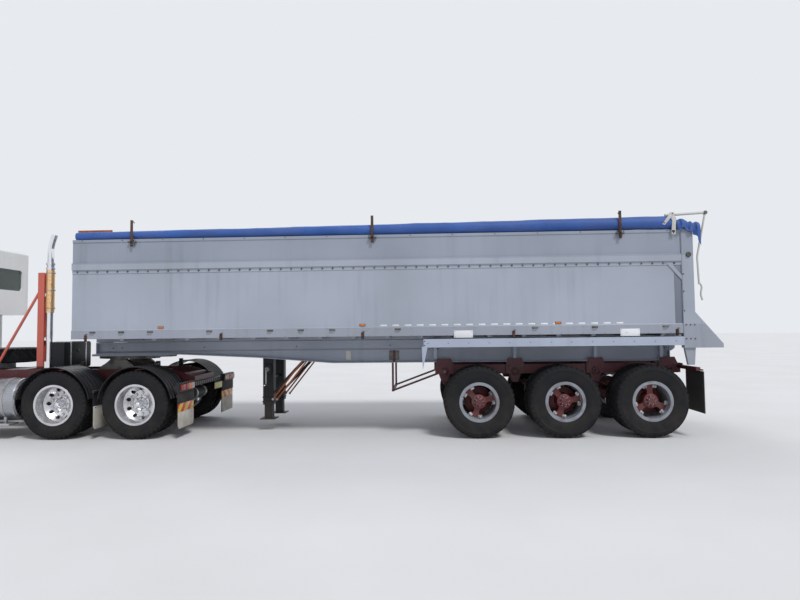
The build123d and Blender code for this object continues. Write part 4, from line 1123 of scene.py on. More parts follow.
    def done(self, *replaced: str, sharp: float = 38.0, crease: bool = True) -> bpy.types.Object:
        """Make the object, give it its body and finishes, and report it.

        Args:
            replaced: The CAD nodes that it stands for.
            sharp: The angle in degrees past which an edge shows.
            crease: Whether such edges are marked sharp.

        Returns:
            The new object.
        """
        self.whole.to_mesh(self.mesh)
        self.whole.free()
        if crease:
            self.mesh.set_sharp_from_angle(angle=math.radians(sharp))
        made = put(self.name, self.mesh)
        for finish in self.finishes:
            self.mesh.materials.append(finish.material())
        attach(made, self.body)
        if replaced:
            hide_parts(*replaced)
        log.info("%s rides on %s with %d faces", self.name, self.body, len(self.mesh.polygons))
        return made


def soften(part: Shape, offset: float, segments: int = 2) -> None:
    """Round all of a part's edges."""
    bmesh.ops.bevel(
        part,
        geom=part.edges[:],
        offset=offset,
        segments=segments,
        profile=0.5,
        affect="EDGES",
        material=-1,
        clamp_overlap=True,
    )


def turn_profile(profile: Outline, steps: int, closed: bool = False) -> Shape:
    """Spin a profile of radii and heights round Z.

    Args:
        profile: Radius and height of each point.
        steps: Facets round the axis.
        closed: Whether the last point joins the first.

    Returns:
        The turned shape.
    """
    part = bmesh.new()
    line = [part.verts.new((radius, 0, height)) for radius, height in profile]
    edges = [part.edges.new(pair) for pair in zip(line, line[1:])]
    if closed:
        edges.append(part.edges.new((line[-1], line[0])))
    bmesh.ops.spin(
        part,
        geom=line + edges,
        cent=(0, 0, 0),
        axis=UP,
        dvec=(0, 0, 0),
        angle=math.tau,
        steps=steps,
        use_merge=True,
        use_duplicate=False,
    )
    bmesh.ops.remove_doubles(part, verts=part.verts[:], dist=1e-5)
    return part


# Wheels


@dataclass(frozen=True)
class Station:
    """One wheel station: where its axle is and what it carries."""

    name: str
    x: float
    radius: float
    from_middle: float
    twin: bool
    spin: float = 0.0

    @property
    def on_trailer(self) -> bool:
        """Return whether the station is one of the trailer's."""
        return self.name.startswith("trailer")

    def label(self, side: Side) -> str:
        """Return the station's name with its side."""
        return f"{self.name}_{side.name.lower()}"

    def body(self, side: Side) -> str:
        """Return the CAD body that turns here, named as its wheel's node."""
        return f"wheel_{self.label(side)}"

    def centre(self, side: Side) -> Vector:
        """Return the middle of the wheel."""
        return Vector((self.x, side.value * self.from_middle, self.radius))


STATIONS = (
    Station("steer", -5.815, 0.515, 1.0725, False),
    Station("drive_front", -2.63, 0.515, 0.9425, True),
    Station("drive_rear", -1.38, 0.515, 0.9425, True),
    Station("trailer_1", 3.735, 0.525, 0.9425, True),
    Station("trailer_2", 4.975, 0.525, 0.9425, True, 5.0),
    Station("trailer_3", 6.215, 0.525, 0.9425, True, 42.0),
)


@dataclass(frozen=True)
class Tyre:
    """A truck tyre with a moulded sidewall, a block tread and shoulder lugs."""

    radius: float
    width: float
    bead: float
    ribs: int = 5
    segments: ClassVar[int] = 84
    block_depth: ClassVar[float] = 0.011
    tread_share: ClassVar[float] = 0.74
    bead_steps: ClassVar[Outline] = (
        (0.0, 0.74), (0.006, 0.8), (0.03, 0.82), (0.036, 0.87), (0.044, 0.87), (0.05, 0.9)
    )
    crown_steps: ClassVar[Outline] = (
        (0.075, 0.985), (0.07, 1.0), (0.06, 1.0), (0.055, 0.965),
        (0.035, 0.93), (0.012, 0.87), (0.002, 0.78),
    )

    @property
    def crown(self) -> float:
        """Return the radius of the grooves' floor."""
        return self.radius - self.block_depth

    @property
    def inner(self) -> float:
        """Return half of the tread's width."""
        return self.tread_share * self.width / 2

    def section(self) -> list[tuple[float, float]]:
        """Return the section's radii and heights, from one bead round the tread to the other."""
        widest = (self.bead + self.crown) / 2
        side = [(self.bead + rise, share) for rise, share in self.bead_steps]
        side += [(widest - 0.02, 0.985), (widest + 0.02, 1.0)]
        side += [(self.crown - drop, share) for drop, share in self.crown_steps]
        rising = [(radius, -share * self.width / 2) for radius, share in side]
        heights = [self.inner * (2 * n / self.ribs - 1) for n in range(self.ribs + 1)]
        falling = [(radius, -height) for radius, height in reversed(rising)]
        return rising + [(self.crown, height) for height in heights] + falling

    def shape(self) -> Shape:
        """Spin the section and raise its blocks and, on every second facet, its lugs."""
        part = turn_profile(self.section(), self.segments, closed=True)
        inner = self.inner
        blocks, lugs = [], []
        for face in part.faces:
            middle = face.calc_center_median()
            below = self.crown - math.hypot(middle.x, middle.y)
            step = int(round(math.atan2(middle.y, middle.x) / math.tau * self.segments - 0.5))
            if abs(middle.z) < inner and below < 0.004:
                rib = int((middle.z + inner) / (2 * inner) * self.ribs)
                if rib in (0, self.ribs - 1) or (step + rib) % 4:
                    blocks.append(face)
            elif below < 0.03 and step % 2:
                lugs.append(face)
        bmesh.ops.inset_individual(part, faces=blocks, thickness=0.005, depth=self.block_depth)
        bmesh.ops.inset_individual(part, faces=lugs, thickness=0.004, depth=0.006)
        return part


@dataclass
class RoadWheels:
    """Tyres, nuts, clamps and hub details of all wheel stations."""

    twin_offset: float = 0.1575
    twin_width: float = 0.27
    steer_width: float = 0.295
    sharp: float = 30.0

    def build(self) -> None:
        """Dress each station on both sides."""
        for station in STATIONS:
            for side in Side:
                self.tyres(station, side)
                if station.on_trailer:
                    self.trailer_fittings(station, side)
                else:
                    self.tractor_fittings(station, side)

    def tyres(self, station: Station, side: Side) -> None:
        """Make a station's one or two tyres."""
        offsets = (-self.twin_offset, self.twin_offset) if station.twin else (0.0,)
        width = self.twin_width if station.twin else self.steer_width
        bead, ribs = (0.258, 6) if station.on_trailer else (0.286, 5)
        piece = Piece(f"tread_{station.label(side)}", station.body(side), RUBBER)
        upright = Matrix.Rotation(math.pi / 2, 4, "X")
        turn = Matrix.Rotation(math.radians(station.x * 37.0), 4, "Z")
        for offset in offsets:
            place = shift(station.centre(side) + Vector((0, offset, 0))) @ upright
            piece.take(Tyre(station.radius, width, bead, ribs).shape(), 0, (place @ turn,))
        piece.done(f"tyre_{station.label(side)}", sharp=self.sharp)

    @staticmethod
    def ring(hub: Vector, radius: float, count: int, first: float = 0.0) -> list[Vector]:
        """Return places round an axle.

        Args:
            hub: The ring's middle.
            radius: The ring's radius.
            count: How many places.
            first: The first one's angle in degrees.

        Returns:
            The places.
        """
        places = []
        for number in range(count):
            angle = math.radians(first + 360.0 * number / count)
            places.append(hub + Vector((radius * math.cos(angle), 0, radius * math.sin(angle))))
        return places

    def tractor_fittings(self, station: Station, side: Side) -> None:
        """Add wheel nuts with their washers, a nut ring and the hub's bolts."""
        centre, outward = station.centre(side), Vector((0, side.value, 0))
        disc, hub, hub_radius = (0.014, 0.06, 0.112) if station.twin else (0.07, 0.084, 0.107)
        piece = Piece(f"nuts_{station.label(side)}", station.body(side), STEEL, CHROME)
        studs = self.ring(centre + outward * disc, 0.162, 10, 18.0)
        piece.nuts(studs, outward, 0.024, 0.006, 0, 16)
        piece.nuts(studs, outward, 0.0185, 0.034, 1)
        piece.nuts(studs, outward, 0.009, 0.042, 0, 10)
        piece.nuts(self.ring(centre + outward * hub, hub_radius, 8), outward, 0.011, 0.012)
        if not station.twin:
            piece.nuts(self.ring(centre + outward * 0.165, 0.045, 6), outward, 0.009, 0.008)
        piece.done(sharp=self.sharp)

    def trailer_fittings(self, station: Station, side: Side) -> None:
        """Add rim clamps with nuts at the spokes' ends, the hub cap and its bolts."""
        centre, outward = station.centre(side), Vector((0, side.value, 0))
        piece = Piece(f"clamps_{station.label(side)}", station.body(side), STEEL, MAROON_PAINT)
        for spoke in range(3):
            for lean in (-19.0, 19.0):
                angle = 15.0 - station.spin + 120.0 * spoke + lean
                if side is Side.RIGHT:
                    angle = 180.0 - angle - 2 * station.spin
                clamp = cube((0.055, 0.03, 0.062))
                soften(clamp, 0.009)
                place = self.ring(centre + outward * 0.17, 0.222, 1, angle)[0]
                turn = Matrix.Rotation(-math.radians(angle), 4, "Y")
                piece.take(clamp, 0, (shift(place) @ turn,))
                piece.nuts([place + outward * 0.012], outward, 0.02, 0.03)
                piece.nuts([place + outward * 0.012], outward, 0.01, 0.044, 0, 10)
        cap = ((0.0, 0.0), (0.05, 0.0), (0.058, -0.006), (0.062, -0.02))
        piece.turned(cap, centre + outward * 0.235, outward, 1, 24)
        piece.nuts(self.ring(centre + outward * 0.2, 0.068, 8, 10.0), outward, 0.009, 0.016)
        piece.nuts(self.ring(centre + outward * 0.232, 0.047, 5), outward, 0.006, 0.008)
        piece.done(sharp=self.sharp)


# Tub


@dataclass
class TubDressing:
    """Bolts, rope hooks, latches, reflectors, tape and bare plates on the tub's walls."""

    wall: float = 1.235
    strip_face: float = 1.243
    rail_face: float = 1.249
    post_face: float = 1.25
    bolt_pitch: float = 0.155
    latches: tuple[float, ...] = (-2.125, -0.065, 2.045, 4.245, 6.575)
    hooks: tuple[float, ...] = (
        -2.021, -1.58, -1.14, -0.243, 0.67, 1.129, 1.596, 2.562, 4.553, 5.409, 6.413
    )
    reflectors: tuple[float, ...] = (-0.985, 2.04, 4.89)
    tape_start: float = 2.3
    tape_pitch: float = 0.18
    tape_count: int = 20
    plates: tuple[tuple[float, float], ...] = ((3.38, 3.655), (5.77, 6.045))

    def build(self) -> None:
        """Dress both walls and the rear posts."""
        self.fixings()
        self.latchwork()
        self.signals()
        self.rear()

    def fixings(self) -> None:
        """Add the bolts along the strip and the rivets along the rails."""
        piece = Piece("tub_bolts", "tub", CAST, TUB_PAINT)
        count = int((6.6 + 2.27) / self.bolt_pitch) + 1
        line = [(-2.27 + n * self.bolt_pitch, -self.strip_face, 2.512) for n in range(count)]
        # The strip's bolt heads wear the dark cast finish: partly bare bolts, partly painted shade
        # of the dark dots they cast.
        piece.nuts(line, OUT, 0.015, 0.009)
        rivets = [(-2.2 + 0.31 * n, -self.rail_face, z) for n in range(29) for z in (1.518, 1.615)]
        piece.nuts(rivets, OUT, 0.008, 0.004, 1, 8)
        top = [(-2.2 + 0.62 * n, -1.245, 2.985) for n in range(15)]
        piece.nuts(top, OUT, 0.009, 0.005, 0, 8)
        piece.mirrored().done()

    def latchwork(self) -> None:
        """Add rope hooks and the dark latches under the low rail."""
        piece = Piece("tub_hooks", "tub", CAST, RUSTY)
        face = -self.rail_face
        for x in self.hooks:
            stops = ((-0.03, 0.004, 1.602), (-0.03, -0.022, 1.592))
            stops += ((0.03, -0.022, 1.592), (0.03, 0.004, 1.602))
            piece.pipe([(x + dx, face + dy, z) for dx, dy, z in stops], 0.0065, 0, bend=0.012)
            piece.box((x - 0.045, face - 0.004, 1.588), (x + 0.045, face, 1.614), 0, 0.0015)
        for x in self.latches:
            pin = face - 0.018
            piece.box((x - 0.022, face - 0.006, 1.463), (x + 0.022, face, 1.56), 1, 0.002)
            piece.rod((x, pin, 1.466), (x, pin, 1.545), 0.011, 1, sides=12)
            piece.box((x - 0.016, face - 0.03, 1.5), (x + 0.016, face - 0.004, 1.522), 1, 0.003)
            piece.pipe(((x, pin, 1.54), (x, pin, 1.572), (x + 0.03, pin, 1.572)), 0.005, 1, 0.012)
        piece.mirrored().done()

    def signals(self) -> None:
        """Add amber reflectors in their frames, the white tape and the bare white plates."""
        piece = Piece("tub_reflectors", "tub", AMBER, CAST)
        wall = -self.wall
        for x in self.reflectors:
            piece.box((x - 0.045, wall - 0.004, 1.648), (x + 0.045, wall, 1.684), 1, 0.002)
            piece.box((x - 0.038, wall - 0.01, 1.652), (x + 0.038, wall - 0.003, 1.68), 0, 0.003)
        piece.mirrored().done()
        piece = Piece("tub_tape", "tub", WHITE_TAPE, CAST)
        for number in range(self.tape_count):
            x = self.tape_start + number * self.tape_pitch
            piece.box((x, wall - 0.001, 1.646), (x + 0.1, wall + 0.0005, 1.668), 0, 0.0003)
        face = -self.rail_face
        for low, high in self.plates:
            piece.box((low, face - 0.004, 1.466), (high, face, 1.572), 0, 0.0018)
            corners = [(x, z) for x in (low + 0.015, high - 0.015) for z in (1.482, 1.556)]
            piece.nuts([(x, face - 0.004, z) for x, z in corners], OUT, 0.005, 0.003, 1, 8)
        piece.mirrored().done()

    def rear(self) -> None:
        """Add the strip before the post, the gate's pin ends, the post's edge and its bolts."""
        piece = Piece("tub_post_strip", "tub", STRIP_PAINT, CAST, TUB_PAINT)
        wall, post = -self.wall, -self.post_face
        piece.box((6.56, wall - 0.0015, 1.645), (6.664, wall + 0.001, 2.478), 0, 0.0005)
        pin = ((0.0, 0.022), (0.03, 0.022), (0.036, 0.016), (0.036, 0.0))
        piece.turned(pin, (6.765, post, 2.63), OUT, 1, 24)
        piece.nuts([(6.682, post, z) for z in (1.82, 2.1, 2.35)], OUT, 0.013, 0.009, 1)
        for z in (1.42, 1.62):
            piece.nuts([(6.7 + 0.06 * n, -1.256, z) for n in range(3)], OUT, 0.011, 0.008, 1)
        edge = ((6.672, 1.3), (6.69, 1.3), (6.69, 2.98), (6.672, 2.98))
        piece.slab(edge, Axis.Y, post - 0.004, 0.004, 2, 0.001)
        piece.mirrored().done()


@dataclass
class RolledCover:
    """The blue cover, rolled up on the left-hand wall, with its stakes, clamps, pole and crank."""

    axis_y: float = -1.19
    rail: float = 3.0
    front: float = -2.305
    rear: float = 6.605
    front_radius: float = 0.06
    rear_radius: float = 0.105
    stake_face: float = -1.277
    core: float = 0.014
    cut_width: float = 2.9
    around: int = 200
    along: int = 64
    stakes: tuple[float, ...] = (-1.42, 2.2, 5.8)
    end_cut: tuple[float, float] = (0.38, 0.44)
    draped: float = 0.62

    def build(self) -> None:
        """Roll the cover, bunch its rear end and add its ironwork."""
        self.roll()
        self.bunch()
        self.ironwork()

    def roll(self) -> None:
        """Wind the sheet from its outer edge to its core, uneven as hand-rolled cloth is."""
        part = bmesh.new()
        bmesh.ops.create_grid(part, x_segments=self.around, y_segments=self.along, size=0.5)
        spots = {}
        for vert in part.verts:
            share, length = vert.co.x + 0.5, vert.co.y + 0.5
            x = self.front + (self.rear - self.front) * length
            outer = self.front_radius + (self.rear_radius - self.front_radius) * length
            spread = outer**2 - self.core**2
            radius = math.sqrt(outer**2 - spread * share)
            turn = 2 * self.cut_width * (outer - radius) / spread - 0.7
            lump = noise.noise((x * 1.9, math.cos(turn) * 0.8, math.sin(turn) * 0.8)) * 0.009
            lump += noise.noise((x * 7.0, math.cos(turn) * 2.0, math.sin(turn) * 2.0)) * 0.004
            reach = radius + lump * radius / outer
            above = max(self.rail + 0.001, self.rail + outer + reach * math.sin(turn))
            spots[vert.index] = (share * self.cut_width, x)
            middle = self.axis_y + 0.015 * length + 0.006 * math.sin(x * 0.9)
            vert.co = (x, max(self.stake_face, middle + reach * math.cos(turn)), above)
        piece = Piece("cover_roll", "tub", COVER_CLOTH)
        made = piece.adopt(part, spots).done("tarp_roll", crease=False)

    def bunch(self) -> None:
        """Hang the cover's loose rear end in folds over the pole."""
        part = bmesh.new()
        bmesh.ops.create_grid(part, x_segments=150, y_segments=26, size=0.5)
        spots = {}
        for vert in part.verts:
            along, across = vert.co.x + 0.5, vert.co.y + 0.5
            angle = math.radians(-25 + 205 * min(1.0, across / self.draped))
            radius = 0.092 + 0.01 * math.sin(along * 7.0)
            y = self.axis_y + radius * math.cos(angle)
            z = 3.06 - 0.06 * along**2 + radius * math.sin(angle)
            drop = max(0.0, across - self.draped) / (1 - self.draped)
            fall = 0.06 + 0.17 * max(0.0, along - 0.55) / 0.45 + 0.02 * math.sin(along * 13.0 + 1.0)
            z -= drop * fall
            y -= 0.016 * drop
            depth = 0.005 + 0.015 * across
            wave = along * math.tau * 3.1 + 3.4 * across + 0.9 * math.sin(along * 9.0)
            fold = depth * math.sin(wave) + 0.006 * noise.noise((along * 9.0, across * 5.0, 0.3))
            x = 6.6 + 0.335 * along + 0.35 * depth * math.cos(along * math.tau * 6.2)
            spots[vert.index] = (along * self.end_cut[0], across * self.end_cut[1])
            vert.co = (x, y + fold * math.cos(angle), z + fold * max(0.2, math.sin(angle)))
        piece = Piece("cover_end", "tub", COVER_CLOTH)
        made = piece.adopt(part, spots).done(crease=False)

    def ironwork(self) -> None:
        """Add the stakes, the end cap, the straps, the bare pole, the crank and the rusty bar."""
        piece = Piece("cover_ironwork", "tub", RUSTY, PALE_PAINT, STEEL, CAST, ORANGE_RUST)
        for x in self.stakes:
            piece.box((x - 0.02, -1.291, 2.88), (x + 0.02, -1.279, 3.28), 0, 0.003)
            piece.box((x - 0.06, -1.291, 2.945), (x + 0.06, -1.246, 2.962), 3, 0.003)
            piece.box((x - 0.02, -1.28, 2.963), (x + 0.02, -1.246, 2.99), 0, 0.003)
            piece.nuts([(x, -1.291, 2.975), (x, -1.291, 2.91)], OUT, 0.012, 0.009, 3)
            piece.pipe(((x, -1.285, 3.262), (x, -1.24, 3.272), (x, -1.2, 3.25)), 0.006, 0, 0.02)
        middle = (self.front - 0.002, self.axis_y, self.rail + self.front_radius)
        cap = ((0.0, 0.012), (0.05, 0.012), (0.062, 0.004), (0.062, -0.03), (0.058, -0.03))
        piece.turned(cap, middle, AHEAD, 1, 32)
        straps = (
            ((6.395, 3.07), (6.435, 3.06), (6.575, 3.225), (6.56, 3.245), (6.52, 3.245)),
            ((6.5, 3.24), (6.56, 3.24), (6.6, 3.13), (6.585, 2.92), (6.525, 2.92), (6.54, 3.12)),
        )
        piece.slab(straps[0], Axis.Y, -1.291, 0.007, 1, 0.002)
        piece.slab(straps[1], Axis.Y, -1.283, 0.006, 1, 0.002)
        piece.nuts([(6.425, -1.291, 3.09), (6.545, -1.291, 3.225)], OUT, 0.011, 0.007, 3)
        piece.nuts([(6.555, -1.283, 2.945)], OUT, 0.011, 0.007, 3)
        piece.box((6.53, -1.283, 2.955), (6.58, -1.246, 2.985), 1, 0.003)
        piece.rod((6.548, -1.275, 3.218), (6.548, -1.1, 3.218), 0.012, 1)
        piece.rod((6.47, -1.2, 3.216), (7.06, -1.2, 3.246), 0.019, 1)
        crank = ((7.045, -1.2, 3.245), (6.905, -1.215, 2.6), (6.915, -1.225, 2.2))
        piece.pipe(crank, 0.014, 1, 0.035)
        knuckle = ((0.0, 0.026), (0.024, 0.026), (0.028, 0.02), (0.028, -0.024), (0.0, -0.026))
        piece.turned(knuckle, (7.046, -1.2, 3.244), OUT, 3, 20)
        grip = ((6.92, 2.22), (6.955, 2.17), (6.93, 2.06), (6.955, 1.97))
        piece.pipe([(x, -1.225, z) for x, z in grip], 0.013, 1, 0.035)
        piece.box((-2.34, -1.125, 3.128), (-1.8, -1.085, 3.134), 4, 0.002)
        piece.box((-2.34, -1.127, 3.128), (-1.8, -1.121, 3.166), 4, 0.002)
        for x in (-2.31, -1.84):
            piece.box((x - 0.02, -1.092, 3.0), (x + 0.02, -1.085, 3.13), 4, 0.002)
            piece.box((x - 0.03, -1.15, 3.0), (x + 0.03, -1.085, 3.008), 4, 0.002)
        piece.done("tarp_roll")


# Trailer


@dataclass
class TrailerDressing:
    """Beam lips, pins, U-bolts, brake chambers, flap strips, lamps, leg stays and the crank."""

    axles: tuple[float, ...] = (3.735, 4.975, 6.215)
    hangers: tuple[float, ...] = (3.255, 4.355, 5.595, 6.695)
    beam_y: float = 0.5

    def build(self) -> None:
        """Dress the beams, the running gear, the guards and the legs."""
        self.beams()
        self.suspension()
        self.brakes()
        self.guards()
        self.tail()
        self.legs()

    def beams(self) -> None:
        """Add each beam web's lip and its painted shadow, its pale plate, carrier plates and bolts.
        """
        piece = Piece("beam_details", "trailer", BEAM_PAINT, CAST, PALE_PAINT, MAROON_PAINT)
        piece.box((-2.3, -0.517, 1.286), (3.18, -0.506, 1.296), 0, 0.002)
        # A thin dark strip in the cast finish under the lip: its painted shadow line.
        piece.box((-2.3, -0.511, 1.281), (3.18, -0.506, 1.286), 1, 0.001)
        piece.box((1.692, -0.514, 1.115), (1.776, -0.506, 1.272), 2, 0.003)
        piece.box((2.385, -0.513, 1.118), (2.545, -0.506, 1.264), 1, 0.003)
        piece.box((2.445, -0.528, 1.092), (2.482, -0.513, 1.266), 3, 0.004)
        bolts = [(x, -0.507, 1.345) for x in (-2.1, -1.95, -0.6, 0.9, 2.4)]
        bolts += [(x, -0.513, z) for x in (2.405, 2.525) for z in (1.138, 1.244)]
        piece.nuts(bolts, OUT, 0.011, 0.008, 1)
        piece.mirrored().done()

    def suspension(self) -> None:
        """Add hanger pins and the springs' U-bolts and clips."""
        piece = Piece("trailer_spring_bolts", "trailer", MAROON_PAINT, CAST)
        for x in self.hangers:
            boss = ((0.03, 0.0), (0.058, 0.0), (0.058, 0.018), (0.05, 0.024), (0.03, 0.024))
            piece.turned(boss, (x, -0.584, 0.93), OUT, 0, 28)
            piece.nuts([(x, -0.586, 0.93)], OUT, 0.028, 0.034, 1)
            bolts = [(x + dx, -0.584, z) for dx in (-0.1, 0.1) for z in (0.99, 1.02)]
            piece.nuts(bolts, OUT, 0.012, 0.011, 1)
        beam = -self.beam_y
        for axle in self.axles:
            for x in (axle - 0.052, axle + 0.052):
                for y in (beam - 0.05, beam + 0.05):
                    piece.rod((x, y, 0.52), (x, y, 0.7), 0.011, 1, sides=12)
                piece.box((x - 0.012, beam - 0.06, 0.69), (x + 0.012, beam + 0.06, 0.712), 1, 0.004)
            for x in (axle - 0.3, axle + 0.3):
                piece.box((x - 0.02, beam - 0.045, 0.66), (x + 0.02, beam + 0.045, 0.72), 1, 0.005)
        piece.mirrored().done()

    def brakes(self) -> None:
        """Add a brake chamber with its bracket and push rod behind each wheel."""
        piece = Piece("trailer_brakes", "trailer", BLACK_PAINT, STEEL)
        shell = (
            (0.0, 0.0), (0.03, 0.0), (0.07, 0.02), (0.078, 0.06), (0.09, 0.064),
            (0.09, 0.08), (0.078, 0.084), (0.076, 0.15), (0.06, 0.17), (0.0, 0.174),
        )
        for axle in self.axles:
            piece.turned(shell, (axle + 0.12, -0.33, 0.6), (1, 0, 0.12), 0, 32)
            piece.box((axle + 0.03, -0.365, 0.555), (axle + 0.125, -0.295, 0.625), 0, 0.008)
            piece.rod((axle, -0.33, 0.66), (axle + 0.12, -0.33, 0.61), 0.009, 1, sides=12)
            piece.rod((axle, -0.7, 0.66), (axle, -0.33, 0.66), 0.018, 0, sides=16)
        piece.mirrored().done()

    def guards(self) -> None:
        """Add the guards' rolled lip, rivets, end seams and the flaps' pale strips."""
        piece = Piece("guard_trim", "trailer", GUARD_PAINT, CAST, PALE_PAINT)
        piece.rod((2.937, -1.286, 1.334), (6.653, -1.286, 1.334), 0.005, 0, sides=10)
        piece.rod((2.937, -1.287, 1.449), (6.653, -1.287, 1.449), 0.004, 0, sides=10)
        piece.nuts([(3.0 + 0.295 * n, -1.29, 1.39) for n in range(13)], OUT, 0.007, 0.004, 1, 8)
        piece.nuts([(2.95, -1.29, z) for z in (1.36, 1.42)], OUT, 0.008, 0.005, 1, 8)
        for y in (-0.655, -1.229):
            piece.box((6.934, y - 0.006, 0.352), (6.939, y + 0.006, 0.948), 2, 0.001)
        piece.box((6.934, -1.23, 0.352), (6.939, -0.655, 0.366), 2, 0.001)
        piece.box((6.934, -1.225, 0.915), (6.94, -0.66, 0.945), 2, 0.001)
        bolts = [(6.94, y, 0.93) for y in (-1.18, -1.06, -0.94, -0.82, -0.7)]
        piece.nuts(bolts, BACK, 0.011, 0.006, 1)
        piece.mirrored().done()

    def tail(self) -> None:
        """Add the tail lamps and the bare number plate on the tail bar."""
        piece = Piece("trailer_tail_lamps", "trailer", RED_LENS, AMBER, CLEAR_LENS, BLACK_PAINT)
        piece.box((6.89, -0.6, 0.955), (6.905, -0.24, 1.035), 3, 0.004)
        for low, high, lens in ((-0.592, -0.48, 0), (-0.474, -0.362, 1), (-0.356, -0.25, 2)):
            piece.box((6.9, low, 0.963), (6.92, high, 1.027), lens, 0.008)
        piece.mirrored().done()
        piece = Piece("trailer_plate", "trailer", PLATE, BLACK_PAINT)
        piece.box((6.889, -0.19, 0.962), (6.894, 0.19, 1.064), 1, 0.001)
        piece.box((6.893, -0.18, 0.968), (6.896, 0.18, 1.058), 0, 0.001)
        piece.done()

    def legs(self) -> None:
        """Add the legs' rusty stays, the gearbox and the folded crank."""
        piece = Piece("landing_leg_fittings", "trailer", ORANGE_RUST, BLACK_PAINT, STEEL)
        for x in (0.5, 0.57):
            piece.rod((x, -0.438, 0.5), (x + 0.5, -0.438, 1.13), 0.013, 0, sides=14)
        piece.nuts([(0.5, -0.438, 0.5), (0.57, -0.438, 0.5)], OUT, 0.022, 0.012, 2)
        for z in (0.45, 0.52):
            piece.box((0.325, -0.428, z), (0.515, -0.262, z + 0.02), 1, 0.004)
        piece.mirrored()
        piece.box((0.36, -0.48, 0.9), (0.48, -0.42, 1.06), 1, 0.012)
        hub = ((0.0, 0.03), (0.03, 0.03), (0.036, 0.02), (0.036, 0.0))
        piece.turned(hub, (0.42, -0.48, 0.98), OUT, 2, 24)
        crank = ((-0.5, 0.98), (-0.56, 0.98), (-0.56, 0.74), (-0.66, 0.74))
        piece.pipe([(0.42, y, z) for y, z in crank], 0.012, 2, 0.03)
        piece.done()


# Tractor


